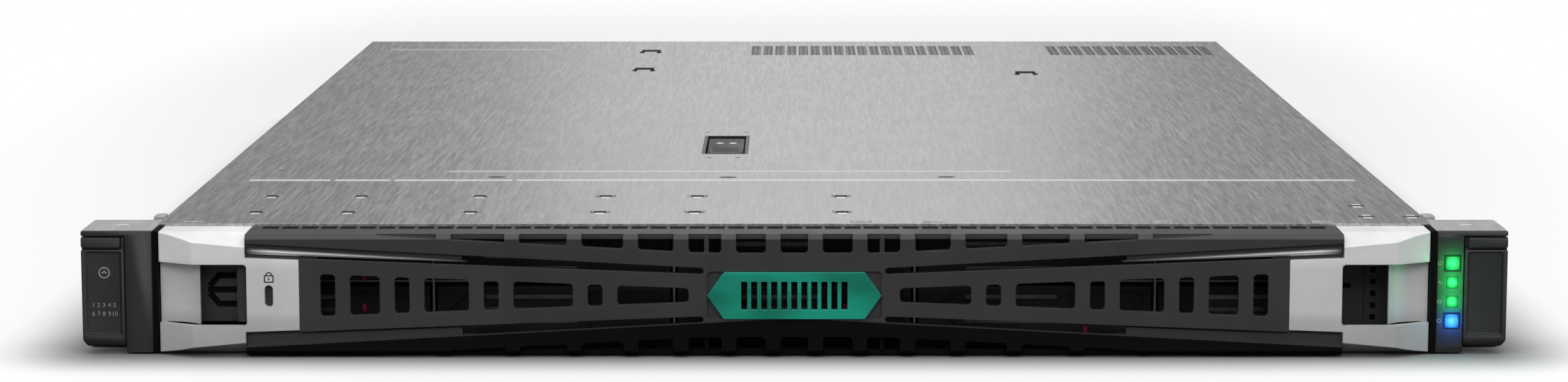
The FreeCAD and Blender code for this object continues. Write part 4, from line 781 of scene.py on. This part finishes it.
for name, lamp, size in lenses:
    for number, centre in enumerate(litCentres(name)):
        shape, core = lensSurface(centre, size, lensLook)
        piece = newPiece(f"{name}_lens{number}", shape, bodyOf[name], lamp, smooth=True)
        pointLayer(piece, "litCore", "FLOAT", "value", core)
        thicken(piece, lensLook["wall"])
        glowLamp(f"{name}_glow{number}", lamp, centre, glow)
earLow, earHigh = boxOf("right_ear_housing")
powerX, _, powerZ = litCentres("power_button")[0]
signX, idZ = powerX - 4.3, litCentres("locator_button")[0][2]
lowZ, upZ = [centre[2] for centre in litCentres("status_lights")]
pulse = [(-0.7, 0.0), (-0.2, 0.0), (0.0, 0.5), (0.3, -0.5), (0.7, 0.0)]
card = [(-0.6, -0.4), (0.6, -0.4), (0.6, 0.4), (-0.6, 0.4)]
signs = [line(*circle(signX, powerZ, 0.65, 12, 2.1, 5.2)),
         line((signX, powerZ + 0.2), (signX, powerZ + 0.85)),
         line(*[(signX + x, upZ + z) for x, z in pulse]), loop([(signX + x, lowZ + z) for x, z in card]),
         loop(circle(signX, idZ, 0.6, 12))]
newPiece("light_signs", strokes(signs, 0.22, earLow[1] - 0.08, earLow[1] + 0.2), "chassis", "printGrey")

# thin facing round the lit squares: painted glow, the light they spread over the strip given as the facing's
# own emission
haloLook = dict(start=1.6, reach=2.0, strength=0.52, step=0.45, edge=0.5, ends=2.0, gap=0.1, sheet=0.03,
                colours=dict(green_light=(0.02, 0.8, 0.16), blue_light=(0.02, 0.16, 0.95)),
                base=((0.018, 0.018, 0.019), (0.026, 0.026, 0.027)), rough=(0.42, 0.56))


def haloFacing(look):
    holes, sources = [], []
    for name, lamp, size in lenses:
        low, high = boxOf(name)
        half = (high[0] - low[0]) / 2 + look["gap"]
        for x, y, z in litCentres(name):
            holes.append((x - half, x + half, z - half, z + half))
            sources.append((x, z, look["colours"][lamp]))
    right = boxOf("right_release_lever")[0][0] - look["edge"]
    low, high = earLow[2] + look["ends"], earHigh[2] - look["ends"]
    breaksX = sorted({earLow[0] + look["edge"], right} | {h[i] for h in holes for i in (0, 1)})
    breaksZ = sorted({low, high} | {h[i] for h in holes for i in (2, 3)})
    cells = [(x0, x1, z0, z1) for x0, x1 in zip(breaksX, breaksX[1:]) for z0, z1 in zip(breaksZ, breaksZ[1:])]
    grids = []
    for x0, x1, z0, z1 in cells:
        x, z = (x0 + x1) / 2, (z0 + z1) / 2
        if any(h[0] < x < h[1] and h[2] < z < h[3] for h in holes):
            continue
        steps = [np.linspace(a, b, max(2, int((b - a) / look["step"]) + 1)) for a, b in ((x0, x1), (z0, z1))]
        x, z = np.meshgrid(*steps, indexing="ij")
        grids.append(np.stack([x, np.full(x.shape, earLow[1] - look["sheet"]), z], -1))
    verts, faces = sheets(grids)
    tint = np.zeros((len(verts), 4))
    tint[:, 3] = 1.0
    for x, z, colour in sources:
        distance = np.hypot(verts[:, 0] - x, verts[:, 2] - z)
        fall = np.exp(-np.maximum(distance - look["start"], 0) / look["reach"])
        tint[:, :3] += np.outer(fall, colour) * look["strength"]
    return (verts, faces), tint


def haloFinish(tree, shader, coords, look):
    # the strip's own black with the painted glow's colour added as emission, faintly uneven
    tint = addNode(tree, "Attribute", attribute_name="haloTint").outputs["Color"]
    grain = noiseOn(tree, coords, 2600.0, 3.0)
    feed(tree, shader, {"Base Color": mixColour(tree, spreadTo(tree, grain, 0.0, 1.0), *look["base"]),
                        "Roughness": spreadTo(tree, grain, *look["rough"]),
                        "Emission Color": tint, "Emission Strength": 1.0})


shape, tint = haloFacing(haloLook)
addFinish("glowingStrip", haloFinish, haloLook)
piece = newPiece("glowing_strip", shape, "chassis", "glowingStrip")
pointLayer(piece, "haloTint", "FLOAT_COLOR", "color", tint)
thicken(piece, haloLook["sheet"] * 0.9)
print("stage: lit squares glow")

# catch behind the left finger window
catchLook = dict(setBack=13.0, half=10.9, tip=-199.4, shoulder=-195.6, end=-188.4, rise=4.9, width=2.1)
catchY = faceY + catchLook["setBack"]
plate = (boxOf("bezel_release_slider")[0][0] + 1.0, -armX - 3.4, catchY - 0.15, catchY + 0.2,
         midZ - catchLook["half"], midZ + catchLook["half"])
newPiece("catch_plate", blocks([plate]), "bezel_release", "bezel_moulding")
tip, shoulder, end = catchLook["tip"], catchLook["shoulder"], catchLook["end"]
prongs = [line((tip + 0.6, midZ + side * 1.2), (shoulder, midZ + side * catchLook["rise"]),
               (end, midZ + side * catchLook["rise"])) for side in (1, -1)] + [line((tip, midZ), (end, midZ))]
newPiece("catch_arrow", strokes(prongs, catchLook["width"], catchY - 0.22, catchY), "bezel_release",
         "deepBlack")

# port panel behind the right finger window, with a hollow middle, holes and signs
portLook = dict(x=(184.4, 203.4), y=-11.6, z=(2.4, 40.0), sides=(7.4, 8.0), thick=1.5, hollow=1.0, rows=5,
                pitch=4.1, hole=1.9, signs=(("upper", 5.8, "inkGreen"), ("lower", -6.6, "inkBlue")))
left, right = portLook["x"]
portY, back = portLook["y"], portLook["y"] + portLook["thick"]
panel = [(left, left + portLook["sides"][0], portY), (right - portLook["sides"][1], right, portY),
         (left + portLook["sides"][0], right - portLook["sides"][1], portY + portLook["hollow"])]
newPiece("port_panel", blocks([(x0, x1, y, back, *portLook["z"]) for x0, x1, y in panel]), "chassis",
         "bezel_moulding")
# the holes are black patches on the panel: painted shade in place of openings
holes = [(right - 6.0, right - 6.0 + portLook["hole"], z, z + portLook["hole"])
         for z in midZ - 4.0 + portLook["pitch"] * (np.arange(portLook["rows"]) - 2.0)]
holes.append((left + 0.4, left + 6.4, midZ - 1.2, midZ + 0.6))
newPiece("port_openings", blocks([(x0, x1, portY - 0.03, portY + 0.1, z0, z1) for x0, x1, z0, z1 in holes]),
         "chassis", "deepBlack")
for word, rise, ink in portLook["signs"]:
    x, z = left + 3.2, midZ + rise
    sign = [loop(circle(x, z, 0.75, 12)), line((x, z - 1.9), (x, z - 1.1))]
    newPiece(f"port_sign_{word}", strokes(sign, 0.42, portY - 0.04, portY + 0.1), "chassis", ink)
print("stage: finger windows fitted")

# black sheets between caps and ears, painted shade in the gaps; pale plates in the ears' slots, painted light
# seen through them; folded tabs beside the chassis
# painted shade: black sheet filling the gap beside each cap
gapShade = (capHigh[0] + 0.3, halfX - 0.1, faceY + 6.6, chassisLow[1] - 0.3, 1.0, 42.3)
newPiece("gap_painted_shade", blocks(bothSides([gapShade])), "chassis", "deepBlack")
bracketHigh = boxOf("right_ear_bracket")[1]
screwX, earTop = bracketHigh[0] - 8.75, bracketHigh[2]
# painted light: pale plates under the ears' slots stand in for the lit surface seen through them
pale = (screwX - 5.0, screwX - 1.0, faceY + 21.8, faceY + 24.4, earTop - 0.9, earTop + 0.02)
newPiece("ear_slot_painted_light", blocks(bothSides([pale])), "chassis", "paleMetal")


def earTab(side, radius=2.0, y=9.0, foot=3.0):
    # tab with a rounded end: outline in x and y
    a = np.linspace(0, math.pi, 9)
    outline = np.stack([side * (halfX + 2.3 + radius * np.cos(a)), y + radius * np.sin(a)], 1)
    return np.vstack([outline, [(side * (halfX + 0.3), foot), (side * (halfX + 4.3), foot)]])


newPiece("ear_tabs", prismSet([earTab(-1), earTab(1)], 40.0, 42.9, 2), "chassis", "steel_ear")

# coloured touch spots of the drive carriers: a tall one over a low one, in five columns and two rows
touchLook = dict(pitch=(82.6, 18.4), half=0.7, thick=1.2, spans=((7.6, 10.2), (0.2, 2.2)))
pitchX, pitchZ = touchLook["pitch"]
touchY = boxOf("drive_release_tabs")[0][1]
spotX = -2 * pitchX + pitchX * np.arange(5) + 17.5
spotZ = boxOf("drive_carriers")[0][2] + 0.7 + pitchZ * np.arange(2)
half, thick = touchLook["half"], touchLook["thick"]
spots = [(-half, half, 0.0, thick, *span) for span in touchLook["spans"]]
touch = boxesAt([(x, z) for x in spotX for z in spotZ], spots, touchY)
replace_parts(newPiece("drive_touch_spots", blocks(touch), "chassis", "magenta_moulding"), "drive_release_tabs")
print("stage: small trim around the front")

# black fill in the vents of the bezel's top wall: painted shade in the openings
ventLook = dict(pitch=6.6, rib=1.2, length=5.8, lap=0.05)
pitch, lap = ventLook["pitch"], ventLook["lap"]
count = int((2 * armX - 4.0) // pitch)
starts = -count * pitch / 2 + ventLook["rib"] / 2 + pitch * np.arange(count)
ventBack = bezelHigh[1] - 1.1
mesh = [(x - lap, x + pitch - ventLook["rib"] + lap, ventBack - ventLook["length"] - lap, ventBack + lap,
         bezelHigh[2] - 1.3, bezelHigh[2] - 0.03) for x in starts]
newPiece("vent_painted_shade", blocks(mesh), "bezel", "deepBlack")

# top covers: seam, bead lines, lanced bridges and dimples, as x and y in millimetres
coverLook = dict(
    seam=[(-202.0, -172.2), (-170.6, -150.1), (-148.5, -104.7), (-103.1, 208.0)], seamY=100.5, seamWide=3.8,
    lines=[(-130.7, 81.5, 126.3), (-203.6, -123.5, 608.9)], lineWide=5.0,
    frontDots=[(168.0, 58.1), (208.5, 31.9)], seamMarks=[(-111.3, 111.0), (-24.8, 110.0), (56.8, 111.0)],
    rightMarks=[(198.5, 31.9), (198.1, 4.7), (213.4, 4.7)],
    bridgeShare=[-0.864, -0.716, -0.52, -0.312, -0.16, 0.077], bridgeY=[15.6, 56.8],
    dimples=[(-35.6, 252.7), (-19.6, 252.7), (-33.0, 168.7), (-22.0, 168.7), (-194.4, 129.4)],
)


def ridges(runs, wide, high):
    # low flat beads along X with slanted sides: runs of x0, x1 and y
    low = coverTop - 0.02
    outlines = [[(y - wide / 2, low), (y - wide / 2 + 0.3, low + high), (y + wide / 2 - 0.3, low + high),
                 (y + wide / 2, low)] for x0, x1, y in runs]
    return prismSet(outlines, [run[0] for run in runs], [run[1] for run in runs], 0)


def lancedMarks(spots, long, rise):
    # dark mouths of low bridges with a notch at each end, painted shade, and the bridges' pale backs, painted
    # highlight
    mouths, backs, low, half = [], [], coverTop - 0.05, long / 2
    for x, y in spots:
        mouths.append((x - half, x + half, y - 1.62, y - 1.2, low, coverTop + rise))
        for notch in (x - half - 0.45, x + half + 0.45):
            mouths.append((notch - 0.45, notch + 0.45, y - 2.4, y + 0.6, low, coverTop + 0.03))
        backs.append((x - half + 0.6, x + half - 0.6, y - 1.2, y + 1.4, low, coverTop + rise + 0.01))
        backs.append((x - half + 0.5, x + half - 0.5, y - 5.4, y - 2.2, low, coverTop + 0.02))
    return mouths, backs


def discs(spots, radius, low, high, steps=14, axis=2):
    return prismSet([circle(x, y, radius, steps) for x, y in spots], low, high, axis)


def coverPiece(name, shape, body, look):
    newPiece(name, shape, body, look)


seamRuns = [(x0, x1, coverLook["seamY"]) for x0, x1 in coverLook["seam"]]
# the seam and the panel line are paler than the cover: painted highlight, on top of the light their slopes
# catch
coverPiece("seam_edge", ridges(seamRuns, coverLook["seamWide"], 0.16), "access_panel", "beadMetal")
coverPiece("panel_line", ridges(coverLook["lines"], coverLook["lineWide"], 0.08), "access_panel", "softBead")
bridgeSpots = [(halfX * share, y) for share in coverLook["bridgeShare"] for y in coverLook["bridgeY"]]
mouths, backs = [first + second for first, second in zip(lancedMarks(bridgeSpots, 4.2, 0.48),
                                                         lancedMarks(coverLook["rightMarks"], 4.2, 0.3))]
coverPiece("cover_slits", blocks(mouths), "chassis", "shadeAndPrintMetal")
coverPiece("cover_webs", blocks(backs), "chassis", "paleMetal")
seamMouths = lancedMarks(coverLook["seamMarks"], 4.4, 0.25)[0]
coverPiece("panel_slits", blocks(seamMouths), "access_panel", "shadeAndPrintMetal")
# painted shade: dark discs in the dimples
for name, spots, radius, body in (("panel_pits", coverLook["dimples"], 1.1, "access_panel"),
                                  ("cover_pits", coverLook["frontDots"], 0.8, "chassis")):
    coverPiece(name, discs(spots, radius, coverTop - 0.05, coverTop + 0.03), body, "shadeAndPrintMetal")

# black sheets along the latch tray's walls, painted shade in the recess; two bright rivets on the lever
trayLow, trayHigh = boxOf("latch_frame")
x0, y0 = trayLow[:2] + 1.2
x1, y1 = trayHigh[:2] - 1.2
walls = [(x0 - 1.1, x0 + 0.15, y0 - 1.1, y1 + 1.1), (x1 - 0.15, x1 + 1.1, y0 - 1.1, y1 + 1.1),
         (x0, x1, y0 - 1.1, y0 + 0.15), (x0, x1, y1 - 0.15, y1 + 1.1)]
walls = [(*wall, trayLow[2] + 1.3, coverTop + 0.06) for wall in walls]
newPiece("tray_painted_shade", blocks(walls), "access_panel", "panelGrey")
leverTop = boxOf("latch_lever")[1][2]
rivets = [((x0 + x1) / 2 + side * 2.6, (y0 + y1) / 2 + 9.0) for side in (-1, 1)]
newPiece("latch_rivets", discs(rivets, 1.5, leverTop - 0.1, leverTop + 0.08, 16), "panel_latch", "paleMetal")
print("stage: cover marks and tray")

# perforated plates under the panel's rear vents
plateLook = dict(y=(580.0, 628.0), drop=0.45, thick=0.25, hole=2.3, colour=(0.2, 0.2, 0.205),
                 dark=(0.006, 0.006, 0.006), rough=(0.4, 0.55), metal=0.5)


def perforatedFinish(tree, shader, coords, look):
    # round holes on a square grid, as painted shade: dark where the distance from a cell's middle is small
    feeds = {"Scale": 1 / (look["hole"] * mm), "Randomness": 0.0, "Vector": coords}
    solid = spreadTo(tree, addNode(tree, "TexVoronoi", feeds, voronoi_dimensions="2D"), 0.0, 1.0, 0.36, 0.4)
    gloss = spreadTo(tree, noiseOn(tree, coords, 300.0, 3.0), *look["rough"])
    tone = mixColour(tree, solid, look["dark"], look["colour"])
    feed(tree, shader, {"Base Color": tone, "Roughness": gloss, "Metallic": look["metal"]})


addFinish("perforatedPlate", perforatedFinish, plateLook)
cardLow, cardHigh = boxOf("slot_covers")
firstEnd = cardLow[0] + 1.0 + 0.58 * (cardHigh[0] - cardLow[0] - 2.0 - 34.0)
plateZ = coverTop - plateLook["drop"]
plates = [(x0, x1, *plateLook["y"], plateZ - plateLook["thick"], plateZ)
          for x0, x1 in ((cardLow[0], firstEnd + 1.0), (firstEnd + 34.0, cardHigh[0]))]
coverPiece("vent_plates", blocks(plates), "access_panel", "perforatedPlate")

# dark sheets under the panel's lances, each with two legs: painted shade in the openings
lanceX = boxOf("power_supply_2_case")[1][0] - 8.0
lances = [(lanceX, 598.0), (lanceX, 508.3), (firstEnd + 15.5, 491.6)]
lanceShades = [(x - 4.6, x + 4.6, y - 0.4, y + 8.6) for x, y in lances]
lanceShades += [(x + leg - 1.1, x + leg + 1.1, y - 8.0, y + 0.1) for x, y in lances for leg in (-4.2, 4.2)]
coverPiece("lance_painted_shade", blocks([(*pan, coverTop - 0.9, coverTop + 0.03) for pan in lanceShades]), "access_panel",
           "deepBlack")
print("stage: vents and pans")

# rear face: connectors' insides, screws, small lamps, as x and z in millimetres
rearY = chassisHigh[1]
rearLook = dict(
    screws=[(104.0, 32.0), (118.5, 32.0), (104.0, 9.0), (64.5, 13.0), (-26.5, 9.5), (214.0, 36.5)],
    display=(-4.3, 12.8), displayPins=(5, 3), buses=[(25.4, 10.3), (25.4, 16.9)], network=(48.4, 12.3),
    cages=[(140.1, 10.1), (172.1, 10.1)],
)
headRings = [(1.0, 0.0), (1.0, 0.35), (0.82, 0.75), (0.5, 0.95), (0.02, 1.0)]
rivetRings = [(1.0, 0.0), (0.9, 0.7), (0.5, 1.0), (0.02, 1.05)]


def screwHeads(name, places, radius, body):
    # low domed heads with a cross cut in each
    heads = [dome((x, rearY, z), (1, 0, 0), (0, 0, 1), (0, 0.9, 0), radius, headRings, 18) for x, z in places]
    newPiece(name, sheets(heads, True), body, "steel_fastener", smooth=True)
    # the cross cuts are black strokes on the heads: painted shade in place of recesses
    w = radius * 0.55
    crosses = [line((x - w, z - side * w), (x + w, z + side * w)) for x, z in places for side in (1, -1)]
    newPiece(name + "_drives", strokes(crosses, radius * 0.22, rearY + 0.55, rearY + 0.93), body, "deepBlack")


def rearPiece(name, shape, look):
    newPiece(name, shape, "chassis", look)


screwHeads("rear_screws", rearLook["screws"], 2.6, "chassis")
x, z = rearLook["display"]
insert = [(x - 7.4, z + 2.9), (x + 7.4, z + 2.9), (x + 6.4, z - 2.9), (x - 6.4, z - 2.9)]
rearPiece("display_insert", prismSet([insert], rearY - 6.0, rearY - 1.0), "busBlue")
columns, rows = rearLook["displayPins"]
pins = [(x + 2.5 * (i - 2.0 + 0.25 * (j - 1)), z + 1.8 * (j - 1))
        for i in range(columns) for j in range(rows)]
# dark discs for the pin holes: painted shade
rearPiece("display_pins", discs(pins, 0.5, rearY - 1.1, rearY - 0.95, 8, 1), "deepBlack")
posts = [(x - 12.0, z), (x + 12.0, z)]
rearPiece("display_posts", discs(posts, 2.3, rearY, rearY + 1.6, 6, 1), "steel_fastener")
# dark discs for the threaded holes: painted shade
rearPiece("display_threads", discs(posts, 1.3, rearY + 1.5, rearY + 1.63, 14, 1), "deepBlack")
buses, network, cages = rearLook["buses"], rearLook["network"], rearLook["cages"]
rearPiece("bus_tongues", blocks(boxesAt(buses, [(-5.0, 5.0, -8.5, -1.2, -0.2, 1.5)], rearY)), "busBlue")


def contacts(first, pitch, wide, count, *rest):
    return [(first + pitch * i, first + pitch * i + wide, *rest) for i in range(count)]


gold = boxesAt(buses, contacts(-4.1, 2.3, 1.1, 4, -7.0, -1.6, -0.32, -0.15), rearY)
gold += boxesAt([network], contacts(-4.3, 1.15, 0.55, 8, -8.0, -1.4, 2.7, 3.1), rearY)
gold += boxesAt(cages, contacts(-5.0, 1.0, 0.5, 11, -18.0, -6.0, -0.1, 0.3), rearY)
rearPiece("socket_contacts", blocks(gold), "goldPlate")
walls = [(a, b, -8.8, y, -4.3, 4.3) for a, b, y in ((-6.4, -4.9, -0.3), (4.9, 6.4, -0.3), (-4.9, 4.9, -8.2))]
linings = boxesAt([network], walls, rearY) + boxesAt(cages, [(-6.2, 6.2, -19.6, -19.0, -3.8, 3.8)], rearY)
rearPiece("socket_linings", blocks(linings), "deepBlack")
springs = [(x - 0.5, x + 0.5, 0.3, 0.62, z - 0.35, z + 0.35)
           for x in (-5.0, -2.5, 0.0, 2.5, 5.0) for z in (-4.55, 4.55)]
rearPiece("cage_springs", blocks(boxesAt(cages, springs, rearY)), "paleMetal")
lampsAt = [(network[0] + side * 4.4, network[1] + 5.7) for side in (-1, 1)]
lampsAt += [(x + side * 5.4, z + 7.0) for x, z in cages for side in (-1, 1)]
squares = [[(x - 0.9, z - 0.6), (x + 0.9, z - 0.6), (x + 0.9, z + 0.6), (x - 0.9, z + 0.6)]
           for x, z in lampsAt]
rearPiece("link_lamps", prismSet(squares, rearY, rearY + 0.45), "lampAmber")

# each supply: black lining and floor in its inlet, rim round its face, lamp in a ring, two screws
supplyLook = dict(inset=5.0, width=27.4, height=20.0, corner=4.0, depth=17.0, wall=0.5, lamp=(-22.0, 4.2),
                  rimInset=(1.3, 1.6), screwInset=(3.6, 4.2))


def inletOutline(low, middle, look, shrink):
    # the inlet's six-sided shape, drawn in by shrink
    x0, x1 = low[0] + look["inset"] + shrink, low[0] + look["inset"] + look["width"] - shrink
    z0, z1 = middle - look["height"] / 2 + shrink, middle + look["height"] / 2 - shrink
    corner = look["corner"]
    return [(x0, z0 + corner), (x0 + corner, z0), (x1 - corner, z0), (x1, z0 + corner), (x1, z1), (x0, z1)]


def dressSupply(number, look):
    node = f"power_supply_{number}_case"
    low, high = boxOf(node)
    middle, body = (low[2] + high[2]) / 2, bodyOf[node]
    wall, floorY = look["wall"], rearY - look["depth"]
    walls = [loop(inletOutline(low, middle, look, wall / 2 + 0.02))]
    lamp = (high[0] + look["lamp"][0], low[2] + look["lamp"][1])
    x0, x1 = low[0] + look["rimInset"][0], high[0] - look["rimInset"][0]
    z0, z1 = low[2] + look["rimInset"][1], high[2] - look["rimInset"][1]
    rim = [loop([(x0, z0), (x1, z0), (x1, z1), (x0, z1)])]
    lining = strokes(walls, wall, floorY + 0.1, rearY + 0.12)
    floor = prismSet([inletOutline(low, middle, look, 0.1)], floorY + 0.02, floorY + 0.5)
    ring = strokes([loop(circle(*lamp, 1.7, 16))], 0.4, rearY - 0.05, rearY + 0.25)
    for name, shape, material, slotName in (
            ("inlet_lining", lining, "black_moulding", "supply_handle"),
            ("inlet_floor", floor, "black_moulding", "supply_handle"),
            ("supply_lamp", discs([lamp], 1.2, rearY - 0.1, rearY + 0.35, 14, 1), "lampGreen", "supply_case"),
            ("supply_lamp_ring", ring, "deepBlack", "supply_case"),
            ("supply_rim", strokes(rim, 0.7, rearY - 0.05, rearY + 0.12), "supply_case", "supply_case")):
        newPiece(f"{name}_{number}", shape, body, material)
    x, dz = low[0] + look["screwInset"][0], look["screwInset"][1]
    screwHeads(f"supply_screws_{number}", [(x, low[2] + dz), (x, high[2] - dz)], 1.5, body)


for number in (1, 2):
    dressSupply(number, supplyLook)
print("stage: rear connectors and supplies")

# rivets along both side walls, as y and z
rivetLook = dict(y=(78.0, 132.0, 268.0, 404.0, 580.0, 628.0), z=(6.0, 27.5), radius=1.7, proud=0.4)
rivets = [dome((side * halfX, y, z), (0, 1, 0), (0, 0, side), (side * rivetLook["proud"], 0, 0),
               rivetLook["radius"], rivetRings, 14)
          for side in (-1, 1) for y in rivetLook["y"] for z in rivetLook["z"]]
newPiece("side_rivets", sheets(rivets, True), "chassis", "steel_fastener", True)
print("stage: rivets on the sides")
